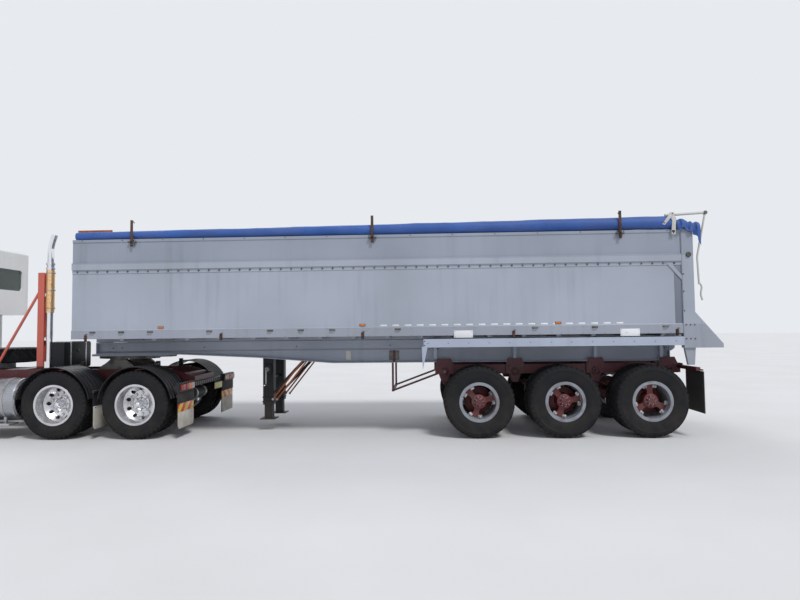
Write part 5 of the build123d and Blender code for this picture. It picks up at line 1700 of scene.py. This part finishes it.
@dataclass
class TractorDressing:
    """Tanks, straps, spare wheel, rail bolts, deck and drive mudguards' flaps and lamps."""

    rail_y: float = 0.43
    tank_y: float = 0.885
    tank_z: float = 0.58
    tank_radius: float = 0.325
    spare_centre: tuple[float, float, float] = (-4.38, 0.18, 1.225)
    drive_axles: tuple[float, ...] = (-2.63, -1.38)

    def build(self) -> None:
        """Dress the tractor's chassis."""
        self.carried()
        self.fuel()
        self.rails()
        self.flaps()
        self.lamps()
        self.guard_edges()

    def carried(self) -> None:
        """Make the oil tank, the air vessel and the spare wheel that lie on the frame."""
        piece = Piece("oil_tank", "tractor", BLACK_PAINT, STEEL, CAST)
        piece.box((-3.228, -0.378, 1.002), (-2.992, 0.418, 1.455), 0, 0.035)
        for y in (-0.2, 0.24):
            piece.box((-3.23, y - 0.02, 1.0), (-2.99, y + 0.02, 1.458), 1, 0.003)
        cap = ((0.0, 0.014), (0.02, 0.014), (0.026, 0.008), (0.026, 0.0))
        piece.turned(cap, (-2.992, 0.02, 1.3), BACK, 2, 24)
        piece.done("chassis_tanks")
        piece = Piece("air_vessel", "tractor", BLACK_PAINT, STEEL)
        dome = ((0.0, 0.31), (0.04, 0.306), (0.075, 0.29), (0.092, 0.262), (0.095, 0.24))
        other = [(radius, -height) for radius, height in reversed(dome)]
        piece.turned([*dome, *other], (-0.94, 0.05, 0.575), ACROSS, 0, 40)
        for y in (-0.13, 0.23):
            piece.hoop((0.0945, 0.0985), 0.018, (-0.94, y, 0.575), ACROSS, 1, 40)
            piece.box((-0.96, y - 0.018, 0.66), (-0.92, y + 0.018, 0.77), 1, 0.004)
        piece.done("chassis_tanks")
        piece = Piece("spare_wheel", "tractor", RUBBER, GREY_PAINT, STEEL)
        centre = Vector(self.spare_centre)
        piece.take(Tyre(0.515, 0.25, 0.286).shape(), 0, (shift(centre),))
        disc = (
            (0.284, 0.098), (0.3, 0.11), (0.296, 0.118), (0.27, 0.1), (0.262, 0.02),
            (0.24, -0.02), (0.2, -0.03), (0.11, -0.03), (0.11, -0.042), (0.205, -0.042),
            (0.25, -0.03), (0.275, 0.01), (0.28, -0.098), (0.296, -0.118), (0.284, -0.1),
        )
        piece.turned(disc, centre, UP, 1, 64, closed=True)
        holes = [(0.155 * math.cos(turn), 0.155 * math.sin(turn), -0.03) for turn in circle(10)]
        piece.nuts([centre + Vector(hole) for hole in holes], UP, 0.014, 0.004, 2, 12)
        foot = ((0.13, -0.225), (0.14, -0.215), (0.14, -0.125), (0.13, -0.115), (0.0, -0.115))
        piece.turned(foot, centre, UP, 1, 40)
        piece.rod(centre + Vector((0, 0, -0.12)), centre + Vector((0, 0, 0.02)), 0.02, 2)
        piece.nuts([centre], UP, 0.05, 0.02, 2, 6)
        piece.done("chassis_tanks")

    def fuel(self) -> None:
        """Add the fuel tanks' straps, end seams, caps, steps and side lamps."""
        piece = Piece("fuel_tank_fittings", "tractor", STEEL, CHROME, AMBER, BLACK_PAINT, POLISHED)
        y, z, outer = -self.tank_y, self.tank_z, self.tank_radius
        for x in (-4.3, -3.88, -3.45):
            piece.hoop((outer - 0.002, outer + 0.006), 0.024, (x, y, z), BACK, 0, 72)
            piece.rod((x, y + 0.16, 0.86), (x, y + 0.3, 0.86), 0.012, 3)
        low, high = outer - 0.003, outer + 0.003
        for x in (-4.49, -3.262):
            seam = ((low, -0.01), (high, -0.006), (high, 0.006), (low, 0.01))
            piece.turned(seam, (x, y, z), BACK, 4, 72, closed=True)
        dome = ((0.0, 0.012), (0.12, 0.011), (0.24, 0.006), (0.31, 0.0), (0.31, -0.002))
        piece.turned(dome, (-3.236, y, z), BACK, 4, 64)
        tilt = Vector((0, -0.55, 0.83))
        neck = Vector((-4.1, y, z)) + tilt * (outer - 0.004)
        cap = ((0.058, 0.0), (0.058, 0.022), (0.05, 0.026))
        cap += ((0.05, 0.05), (0.044, 0.056), (0.0, 0.058))
        piece.turned(cap, neck, tilt, 1, 32)
        piece.box((-3.24, -1.02, 0.63), (-3.212, -0.965, 0.72), 2, 0.008)
        piece.box((-4.35, -1.225, 0.215), (-3.3, -1.0, 0.245), 0, 0.006)
        for number in range(6):
            x = -4.3 + 0.165 * number
            piece.box((x, -1.2, 0.245), (x + 0.12, -1.03, 0.251), 4, 0.002)
        for x in (-4.2, -3.45):
            piece.box((x - 0.02, -1.1, 0.22), (x + 0.02, -1.06, 0.34), 0, 0.004)
        piece.mirrored().done()

    def rails(self) -> None:
        """Add rail bolts, a ribbed deck plate behind the cab and the bare number plate."""
        piece = Piece("tractor_rail_bolts", "tractor", CAST, MAROON_PAINT)
        spots = [(-6.4 + 0.24 * n, -self.rail_y, z) for n in range(24) for z in (0.79, 0.94)]
        piece.nuts(spots, OUT, 0.013, 0.011)
        piece.mirrored().done()
        piece = Piece("deck_plate", "tractor", POLISHED, STEEL)
        piece.box((-3.98, -0.37, 1.001), (-3.64, 0.37, 1.008), 0, 0.002)
        ribs = [shift((-3.96 + 0.045 * n, 0, 0)) for n in range(8)]
        piece.box((0, -0.34, 1.006), (0.014, 0.34, 1.013), 1, 0.003, places=ribs)
        piece.done()
        piece = Piece("tractor_plate", "tractor", PLATE, BLACK_PAINT)
        piece.box((-0.692, 0.2, 0.6), (-0.686, 0.58, 0.72), 1, 0.001)
        piece.box((-0.687, 0.21, 0.61), (-0.683, 0.57, 0.71), 0, 0.001)
        piece.done()

    def flaps(self) -> None:
        """Face the flaps with pale sheet, and the rear ones with the striped band."""
        far, near, bolts = -1.232, -0.645, (-1.18, -1.0, -0.86, -0.7)
        piece = Piece("flap_faces", "tractor", CREAM, CAST)
        for x, y, top in ((-0.716, near, 0.4), (-2.001, -0.648, 0.5)):
            face = ((far, 0.2), (-1.2, 0.156), (-0.68, 0.156), (y, 0.2), (y, top), (far, top))
            piece.slab(face, Axis.X, x, 0.004, 0, 0.001)
        piece.nuts([(-1.997, y, 0.48) for y in bolts], BACK, 0.012, 0.006, 1)
        piece.mirrored().done()
        piece = Piece("flap_bands", "tractor", HAZARD, CAST, FLAP_RUBBER)
        for low, top, depth, finish in ((0.4, 0.527, 0.004, 0), (0.53, 0.695, 0.013, 2)):
            band = ((far, low), (near, low), (near, top), (far, top))
            piece.slab(band, Axis.X, -0.716, depth, finish, 0.002 if finish else 0.001)
        piece.nuts([(-0.713, y, 0.6) for y in bolts], BACK, 0.012, 0.006, 1)
        piece.mirrored().done()

    def lamps(self) -> None:
        """Add the lenses of the tail lamp boxes."""
        piece = Piece("tractor_tail_lamps", "tractor", RED_LENS, AMBER, CLEAR_LENS, BLACK_PAINT)
        piece.box((-0.691, -1.225, 0.712), (-0.684, -0.7, 0.818), 3, 0.004)
        lenses = ((-1.218, -1.06, 0), (-1.052, -0.9, 0), (-0.892, -0.79, 1), (-0.782, -0.708, 2))
        for low, high, lens in lenses:
            piece.box((-0.686, low, 0.72), (-0.668, high, 0.81), lens, 0.009)
        piece.mirrored().done()

    def guard_edges(self) -> None:
        """Add the mudguards' rolled outer edges, their end rims and stay bolts."""
        piece = Piece("mudguard_edges", "tractor", PLASTIC, CAST)
        for axle in self.drive_axles:
            for y in (-1.237, -0.648):
                piece.arc_bar((axle, y, 0.515), 0.564, 0.006, 9.5, 170.5)
            for n in range(5):
                piece.arc_bar((axle, -1.15 + 0.1 * n, 0.515), 0.5655, 0.005, 11.0, 169.0)
            bolts = [(axle + dx, y, 1.082) for dx in (-0.02, 0.02) for y in (-0.7, -1.15)]
            piece.nuts(bolts, UP, 0.012, 0.007, 1)
        piece.mirrored().done()


@dataclass
class Exhaust:
    """The stack's perforated heat shield, its clamps and the flanges' bolts."""

    x: float = -3.425
    y: float = -0.11
    radius: float = 0.066
    low: float = 1.95
    high: float = 2.67
    columns: int = 28
    rows: int = 44
    wrap: float = 250.0
    slot_step: float = 8.93

    def beside(self, radius: float, turn: float, z: float) -> Vector:
        """Return a place beside the pipe's axis."""
        return Vector((self.x + radius * math.cos(turn), self.y + radius * math.sin(turn), z))

    def slotted(self, face: bmesh.types.BMFace) -> bool:
        """Return whether a facet of the shield is one of its slots."""
        middle = face.calc_center_median()
        row = int((middle.z - self.low) / (self.high - self.low) * self.rows)
        turn = math.degrees(math.atan2(middle.y - self.y, middle.x - self.x))
        inside = row % 4 in (1, 2) and 1 < row < self.rows - 2
        return inside and int(round(turn / self.slot_step)) % 2 == 1

    def build(self) -> None:
        """Bend the shield round the pipe and add its clamps and the flanges' bolts."""
        part = bmesh.new()
        bmesh.ops.create_grid(part, x_segments=self.columns, y_segments=self.rows, size=0.5)
        for vert in part.verts:
            turn = math.radians(-90 + self.wrap * vert.co.x)
            height = self.low + (self.high - self.low) * (vert.co.y + 0.5)
            vert.co = self.beside(self.radius, turn, height)
        slots = [face for face in part.faces if self.slotted(face)]
        bmesh.ops.inset_individual(part, faces=slots, thickness=0.0016, depth=-0.002)
        bmesh.ops.solidify(part, geom=part.faces[:], thickness=0.0015)
        piece = Piece("heat_shield", "tractor", SHIELD, STEEL, CHROME)
        piece.take(part)
        x, y = self.x, self.y
        for z in (2.02, 2.33, 2.62):
            piece.hoop((0.0665, 0.07), 0.008, (x, y, z), UP, 1, 40)
            piece.box((x + 0.062, y - 0.006, z - 0.01), (x + 0.09, y + 0.006, z + 0.01), 1, 0.002)
        for z in (2.706, 2.786):
            bolts = [self.beside(0.064, turn, z) for turn in circle(8)]
            piece.nuts(bolts, UP, 0.007, 0.007, 1)
        piece.done()


# Cab


@dataclass
class Cab:
    """Glass with its seals, wipers, lamps, grille inserts, mirrors' glass and door furniture."""

    front: float = -7.1
    screen_low: float = 2.0
    lean: float = 0.2

    def build(self) -> None:
        """Glaze and trim the cab and the bumper."""
        self.screen()
        self.rear_windows()
        for side in Side:
            self.door(side)
        self.face()
        self.bumper()

    @staticmethod
    def rounded(low: Point, high: Point, radius: float, steps: int = 6) -> Outline:
        """Return the outline of a rectangle with round corners.

        Args:
            low: Its lower corner.
            high: Its upper corner.
            radius: The corners' radius.
            steps: Points in each corner.

        Returns:
            The outline's points.
        """
        corners = (
            (high[0] - radius, high[1] - radius, 0),
            (low[0] + radius, high[1] - radius, 90),
            (low[0] + radius, low[1] + radius, 180),
            (high[0] - radius, low[1] + radius, 270),
        )
        points = []
        for across, above, start in corners:
            for step in range(steps + 1):
                turn = math.radians(start + 90 * step / steps)
                points.append((across + radius * math.cos(turn), above + radius * math.sin(turn)))
        return points

    def screen(self) -> None:
        """Glaze the windscreen and add its seal, wipers and visor."""
        outline = self.rounded((-1.078, 2.052), (1.078, 2.748), 0.07)
        lean = (leaning(self.lean, self.screen_low),)
        piece = Piece("windscreen", "cab", WINDOW, GASKET)
        piece.slab(outline, Axis.X, self.front + 0.022, 0.006, 0, places=lean)
        piece.rim(outline, Axis.X, self.front + 0.012, 0.026, 0.024, 1, places=lean)
        piece.done()
        piece = Piece("wipers", "cab", BLACK_PAINT, GASKET)
        for y in (-0.75, 0.0, 0.75):
            piece.rod((-7.1, y, 1.985), (-7.125, y, 1.985), 0.018, 0)
            arm = ((-7.118, y, 1.985), (-7.104, y + 0.16, 2.15), (-7.075, y + 0.3, 2.33))
            piece.pipe(arm, 0.007, 0, 0.05)
            piece.rod((-7.088, y + 0.16, 2.2), (-7.052, y + 0.34, 2.4), 0.007, 1, sides=8)
        piece.box((-7.02, -1.12, 2.79), (-6.96, 1.12, 2.86), 0, 0.012)
        piece.done()

    def rear_windows(self) -> None:
        """Glaze the two windows in the cab's rear wall."""
        piece = Piece("rear_windows", "cab", WINDOW, GASKET)
        for y in (-0.63, 0.63):
            outline = self.rounded((y - 0.428, 2.407), (y + 0.428, 2.793), 0.07)
            piece.slab(outline, Axis.X, -4.782, 0.006)
            piece.rim(outline, Axis.X, -4.79, 0.043, 0.022, 1)
        piece.done()

    def door(self, side: Side) -> None:
        """Glaze a door and its mirror, and add their seals and the handle."""
        name = side.name.lower()
        flip = Matrix.Scale(-side.value, 4, ACROSS)
        piece = Piece(f"door_glass_{name}", f"door_{name}", WINDOW, GASKET, CHROME, BLACK_PAINT)
        outline = ((-6.818, 2.012), (-6.667, 2.778), (-6.052, 2.778), (-6.052, 2.012))
        piece.slab(outline, Axis.Y, -1.206, 0.006, 0, places=(flip,))
        piece.rim(outline, Axis.Y, -1.229, 0.03, 0.02, 1, places=(flip,))
        mirror = (flip @ leaning(0.205, 2.06),)
        glass = self.rounded((-1.465, 2.08), (-1.295, 2.82), 0.03, 4)
        piece.slab(glass, Axis.X, -6.804, 0.003, 2, places=mirror)
        piece.rim(glass, Axis.X, -6.8045, 0.006, 0.008, 1, places=mirror)
        handle = ((-6.07, -1.252), (-6.07, -1.268), (-6.19, -1.268), (-6.19, -1.252))
        piece.pipe([(x, y, 1.8) for x, y in handle], 0.008, 2, 0.012)
        piece.done()

    def face(self) -> None:
        """Add dark grille inserts, roof lamps, side lamps and the grab rails."""
        piece = Piece("grille_inserts", "cab", GASKET, CHROME)
        for number in range(9):
            z = 1.16 + 0.085 * number
            piece.box((-7.071, -0.744, z - 0.02), (-7.064, 0.744, z + 0.02), 0, 0.002)
            piece.rod((-7.098, -0.735, z - 0.018), (-7.098, 0.735, z - 0.018), 0.004, 1, sides=8)
        piece.done()
        piece = Piece("cab_lamps", "cab", AMBER, CHROME)
        for y in (-0.95, -0.5, 0.0, 0.5, 0.95):
            piece.box((-6.86, y - 0.05, 3.045), (-6.79, y + 0.05, 3.095), 0, 0.014)
            piece.box((-6.855, y - 0.058, 3.035), (-6.78, y + 0.058, 3.06), 1, 0.008)
        for low, high in ((-1.239, -1.225), (1.225, 1.239)):
            piece.box((-5.8, low, 1.55), (-5.7, high, 1.6), 0, 0.005)
        piece.done()
        piece = Piece("grab_rails", "cab", CHROME, BLACK_PAINT)
        rail = ((-1.225, 1.5), (-1.275, 1.52), (-1.275, 2.38), (-1.225, 2.4))
        piece.pipe([(-5.88, y, z) for y, z in rail], 0.014, 0, 0.03)
        foot = ((0.0, 0.008), (0.03, 0.008), (0.034, 0.0))
        for z in (1.5, 2.4):
            piece.turned(foot, (-5.88, -1.225, z), OUT, 1, 20)
        piece.mirrored().done()

    def bumper(self) -> None:
        """Fill the bumper's pockets with headlamps and turn lamps."""
        piece = Piece("headlamps", "tractor", CLEAR_LENS, CHROME, AMBER, GASKET)
        bowl = ((0.0, -0.016), (0.03, -0.014), (0.06, -0.006), (0.074, 0.004))
        bowl += ((0.078, 0.004), (0.078, -0.016))
        lens = ((0.0, 0.008), (0.05, 0.006), (0.073, 0.0), (0.073, -0.004))
        piece.box((-7.094, -1.116, 0.6), (-7.089, -0.694, 0.78), 3, 0.001)
        for y in (-0.79, -0.97):
            piece.turned(bowl, (-7.11, y, 0.69), AHEAD, 1, 40)
            piece.turned(lens, (-7.116, y, 0.69), AHEAD, 0, 40)
        piece.box((-7.112, -1.112, 0.61), (-7.095, -1.06, 0.77), 2, 0.006)
        piece.mirrored().done()


@dataclass
class CabInterior:
    """The dashboard, steering wheel, seats and bunk that are seen through the glass."""

    floor: float = 1.47
    seat_y: float = 0.64
    seam_reach: float = 0.03
    seam_depth: float = 0.011

    def build(self) -> None:
        """Furnish the cab."""
        self.dashboard()
        for side in Side:
            self.seat(side.name.lower(), side.value * self.seat_y)
        space = (-5.29, -1.13, 2.005), (-4.83, 1.13, 2.125)
        self.cushion("bunk_mattress", *space, 0.02, (Axis.Y, (-0.56, 0.0, 0.56)))

    def dashboard(self) -> None:
        """Make the dashboard with its binnacle, vents and steering wheel."""
        piece = Piece("dashboard", "cab", TRIM, BLACK_PAINT, CHROME)
        outline = ((-7.035, 1.475), (-7.035, 1.955), (-6.8, 1.98), (-6.71, 1.9))
        outline += ((-6.765, 1.75), (-6.9, 1.475))
        piece.slab(outline, Axis.Y, -1.15, 2.3, 0, 0.015)
        piece.box((-6.9, 0.4, 1.93), (-6.7, 0.88, 2.06), 0, 0.03)
        bezel = ((0.05, 0.004), (0.054, 0.0), (0.05, -0.004))
        for y in (0.53, 0.75):
            piece.turned(bezel, (-6.7, y, 1.99), BACK, 2, 28, closed=True)
        for y in (-0.95, -0.7, 0.15, 1.0):
            piece.box((-6.77, y - 0.07, 1.83), (-6.735, y + 0.07, 1.88), 1, 0.006)
        centre = Vector((-6.6, 0.64, 2.01))
        axis = Vector((0.5736, 0, 0.8192))
        tube = [(0.215 + 0.016 * math.cos(turn), 0.016 * math.sin(turn)) for turn in circle(10)]
        piece.turned(tube, centre, axis, 1, 48, closed=True)
        for turn in (0.4, 2.5, 4.7):
            reach = aim(axis) @ Vector((0.205 * math.cos(turn), 0.205 * math.sin(turn), 0))
            piece.rod(centre - axis * 0.012, centre + reach, 0.016, 1, 0.011, 12)
        boss = ((0.0, 0.01), (0.04, 0.008), (0.055, -0.006), (0.05, -0.03), (0.0, -0.04))
        piece.turned(boss, centre, axis, 1, 28)
        piece.rod(centre - axis * 0.02, centre - axis * 0.2, 0.026, 1)
        piece.done("cab_interior")

    def seat(self, label: str, y: float) -> None:
        """Make a seat: base, squab, back and head rest."""
        piece = Piece(f"seat_base_{label}", "cab", BLACK_PAINT, STEEL)
        piece.box((-6.2, y - 0.2, self.floor + 0.004), (-5.86, y + 0.2, 1.62), 0, 0.02)
        for number in range(4):
            z = 1.63 + 0.035 * number
            piece.box((-6.16, y - 0.17, z), (-5.9, y + 0.17, z + 0.02), 0, 0.008)
        piece.box((-6.22, y - 0.21, 1.77), (-5.78, y + 0.21, 1.8), 1, 0.01)
        piece.done("cab_interior")
        space = (-6.28, y - 0.24, 1.8), (-5.8, y + 0.24, 1.93)
        self.cushion(f"seat_squab_{label}", *space, 0.03, (Axis.X, (-6.12, -5.96)))
        lean = leaning(0.15, 1.9)
        space = (-5.845, y - 0.235, 1.92), (-5.735, y + 0.235, 2.5)
        self.cushion(f"seat_back_{label}", *space, 0.03, (Axis.Z, (2.08, 2.24, 2.4)), lean)
        space = (-5.835, y - 0.14, 2.52), (-5.745, y + 0.14, 2.645)
        self.cushion(f"seat_rest_{label}", *space, 0.02, (Axis.Y, ()), lean)

    def cushion(
        self,
        name: str,
        low: Point,
        high: Point,
        inside: float,
        seams: tuple[Axis, tuple[float, ...]],
        place: Matrix = Matrix(),
    ) -> None:
        """Stuff a cushion: swell a shrunken block under pressure, then sew its channels in.

        Args:
            name: The piece's name.
            low: The lower corner of its space.
            high: The upper corner of its space.
            inside: How much smaller the cut block is on each side of its faces.
            seams: The axis that the channels cross, and where they lie on it.
            place: The shear that leans it.
        """
        low, high = Vector(low), Vector(high)
        middle = (low + high) / 2
        size = high - low - Vector((inside, inside, inside))
        part = cube(size)
        soften(part, min(size) * 0.3, 4)
        block = put("block", mesh_of(part, "block"))
        voxel = block.modifiers.new("even", "REMESH")
        voxel.mode = "VOXEL"
        voxel.voxel_size = 0.014
        even = self.applied(block)
        self.swell(even, inside * 0.5)
        self.sew(even, middle, seams)
        even.data.transform(place @ shift(middle))
        part = bmesh.new()
        part.from_mesh(even.data)
        bpy.data.objects.remove(even)
        axes = {f"use_axis_{axis.name.lower()}": True for axis in Axis}
        bmesh.ops.smooth_vert(part, verts=part.verts[:], factor=0.4, **axes)
        made = Piece(name, "cab", SEAT_CLOTH).take(part).done("cab_interior", crease=False)

    @staticmethod
    def applied(holder: bpy.types.Object) -> bpy.types.Object:
        """Return a new object with the holder's modifiers applied, and remove the holder."""
        graph = bpy.context.evaluated_depsgraph_get()
        mesh = bpy.data.meshes.new_from_object(holder.evaluated_get(graph))
        bpy.data.objects.remove(holder)
        return put("stuffing", mesh)

    @staticmethod
    def swell(holder: bpy.types.Object, limit: float) -> None:
        """Inflate a block as cloth under pressure, and hold each point's move to a limit."""
        start = [vert.co.copy() for vert in holder.data.vertices]
        cloth = holder.modifiers.new("pressure", "CLOTH")
        cloth.settings.use_pressure = True
        cloth.settings.uniform_pressure_force = 4.0
        cloth.settings.effector_weights.gravity = 0.0
        cloth.settings.quality = 4
        for frame in range(1, 15):
            bpy.context.scene.frame_set(frame)
        graph = bpy.context.evaluated_depsgraph_get()
        grown = [vert.co.copy() for vert in holder.evaluated_get(graph).data.vertices]
        holder.modifiers.clear()
        bpy.context.scene.frame_set(1)
        for vert, before, after in zip(holder.data.vertices, start, grown):
            move = after - before
            vert.co = before + move * min(1.0, limit / max(move.length, 1e-6))

    def sew(
        self, holder: bpy.types.Object, middle: Vector, seams: tuple[Axis, tuple[float, ...]]
    ) -> None:
        """Pull the cushion's surface in along its channels."""
        axis, places = seams
        for vert in holder.data.vertices:
            spot = vert.co[axis.value] + middle[axis.value]
            for place in places:
                away = abs(spot - place)
                if away < self.seam_reach:
                    pull = 0.5 + 0.5 * math.cos(math.pi * away / self.seam_reach)
                    vert.co -= vert.normal * self.seam_depth * pull


# Studio


@dataclass(frozen=True)
class Studio:
    """The pale floor, the soft lights and the photograph's camera."""

    camera_place: tuple[float, float, float] = (2.977, -9.8852, 1.5974)
    yaw: float = -2.5112
    pitch: float = 2.8545
    roll: float = -0.6336
    focal_pixels: float = 589.65
    frame_width: float = 800.0
    sensor_width: float = 36.0

    def build(self) -> None:
        """Set up the camera, floor, lights and world."""
        self.camera()
        self.floor()
        self.lights()
        self.world()

    def camera(self) -> None:
        """Place the camera as solved from the photograph."""
        yaw, pitch, roll = (math.radians(angle) for angle in (self.yaw, self.pitch, self.roll))
        ahead = Vector((math.sin(yaw), math.cos(yaw), 0)) * math.cos(pitch)
        forward = ahead + Vector((0, 0, math.sin(pitch)))
        level = Vector((math.cos(yaw), -math.sin(yaw), 0))
        above = level.cross(forward)
        right = math.cos(roll) * level + math.sin(roll) * above
        up = -math.sin(roll) * level + math.cos(roll) * above
        lens = bpy.data.cameras.new("camera")
        lens.sensor_width = self.sensor_width
        lens.lens = self.focal_pixels / self.frame_width * self.sensor_width
        lens.clip_end = 300.0
        camera = put("camera", lens)
        turn = Matrix((right, up, -forward)).transposed().to_4x4()
        camera.matrix_world = shift(self.camera_place) @ turn
        bpy.context.scene.camera = camera

    def floor(self) -> None:
        """Lay a wide pale floor that fades into the backdrop."""
        part = bmesh.new()
        bmesh.ops.create_circle(part, cap_ends=True, segments=96, radius=140.0)
        floor = put("floor", mesh_of(part, "floor"))
        material = bpy.data.materials.new("pale_floor")
        material.use_nodes = True
        graph = Graph(material.node_tree)
        cloudy = graph.span(graph.speckle(0.5, 4.0), 0.3, 0.7)
        tint = graph.blend(cloudy, (0.7, 0.69, 0.68), (0.74, 0.735, 0.73))
        shader = material.node_tree.nodes["Principled BSDF"]
        graph.feed(shader, {"Base Color": tint, "Roughness": 0.9})
        floor.data.materials.append(material)

    def lights(self) -> None:
        """Hang one soft sun from the camera's upper left and a weaker one from behind."""
        for name, direction, power, spread in (
            ("key", (-0.45, 0.7, -1.0), 1.7, 12.0),
            ("rim", (0.4, -0.8, -0.9), 0.4, 25.0),
        ):
            lamp = bpy.data.lights.new(name, "SUN")
            lamp.energy = power
            lamp.angle = math.radians(spread)
            turn = Vector(direction).to_track_quat("-Z", "Y")
            put(name, lamp).matrix_world = turn.to_matrix().to_4x4()

    def world(self) -> None:
        """Light the air evenly, and show a pale backdrop to the eye, to metal and through glass."""
        world = bpy.data.worlds.new("studio")
        world.use_nodes = True
        world.node_tree.nodes.clear()
        graph = Graph(world.node_tree)
        path = graph.add("LightPath")
        seen = graph.math("MAXIMUM", path.outputs["Is Camera Ray"], path.outputs["Is Glossy Ray"])
        seen = graph.math("MAXIMUM", seen, path.outputs["Is Transmission Ray"])
        air = graph.add("Background", {"Color": (0.86, 0.9, 1.0, 1.0), "Strength": 0.6})
        wall = graph.add("Background", {"Color": (0.8, 0.83, 0.87, 1.0), "Strength": 1.0})
        mix = graph.add("MixShader", {0: seen, 1: air.outputs[0], 2: wall.outputs[0]})
        graph.add("OutputWorld", {0: mix.outputs[0]})
        bpy.context.scene.world = world
        bpy.context.scene.view_settings.view_transform = "Standard"


@dataclass(frozen=True)
class CadFinishes:
    """Which finish each carried-over CAD node wears."""

    plain: ClassVar[tuple[tuple[Finish, tuple[str, ...]], ...]] = (
        (TUB_PAINT, ("tub_sides", "tub_front", "tub_floor", "tailgate")),
        (GUARD_PAINT, ("wheel_guards",)),
        (BEAM_PAINT, ("trailer_frame",)),
        (CAB_PAINT, ("cab_front", "cab_sides", "cab_rear", "cab_roof", "cab_floor")),
        (CAB_PAINT, ("cab_door_left", "cab_door_right", "front_bumper")),
        (MAROON_PAINT, ("running_gear", "drive_axles")),
        (FRAME_PAINT, ("tractor_frame",)),
        (BLACK_PAINT, ("landing_legs", "front_axle", "knuckle_left", "knuckle_right")),
        (BLACK_PAINT, ("chassis_tanks",)),
        (CAST, ("fifth_wheel", "engine_block")),
        (POLISHED, ("fuel_tanks",)),
        (CHROME, ("exhaust_stack", *(f"hoist_stage_{number}" for number in range(1, 6)))),
        (GREY_PAINT, ("hoist_barrel",)),
        (PLASTIC, ("drive_mudguards", "front_steps")),
        (TRIM, ("cab_interior",)),
        (COVER_CLOTH, ("tarp_roll",)),
    )

    trailer_wheel: ClassVar[dict[str, object]] = {
        "slot": "maroon_paint",
        "rim": (0.27, 0.29, 0.33),
        "middle": (0.13, 0.022, 0.026),
        "split": 0.236,
        "middle_roughness": 0.4,
        "metallic": 0.15,
        "roughness": 0.42,
        "dirt": 0.7,
    }
    tractor_wheel: ClassVar[dict[str, object]] = {
        "slot": "bright_metal",
        "rim": (0.72, 0.72, 0.74),
        "middle": (0.88, 0.88, 0.9),
        "split": 0.108,
        "middle_roughness": 0.06,
        "metallic": 0.9,
        "roughness": 0.27,
        "dirt": 0.28,
    }

    def apply(self) -> None:
        """Put the finishes on."""
        for finish, nodes in self.plain:
            finish.on(*nodes)
        for station in STATIONS:
            look = self.trailer_wheel if station.on_trailer else self.tractor_wheel
            name, centre = f"wheel_{station.name}", (station.x, station.radius)
            wheel = SpiderWheel(name=name, centre=centre, **look)
            wheel.on(*(station.body(side) for side in Side))


def main() -> None:
    """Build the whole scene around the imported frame."""
    logging.basicConfig(level=logging.INFO, format="%(name)s: %(message)s")
    bpy.ops.wm.read_factory_settings(use_empty=True)
    _loaded.update(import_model())
    Studio().build()
    CadFinishes().apply()
    RoadWheels().build()
    TubDressing().build()
    RolledCover().build()
    TrailerDressing().build()
    TractorDressing().build()
    Exhaust().build()
    Cab().build()
    CabInterior().build()


if __name__ == "__main__":
    main()
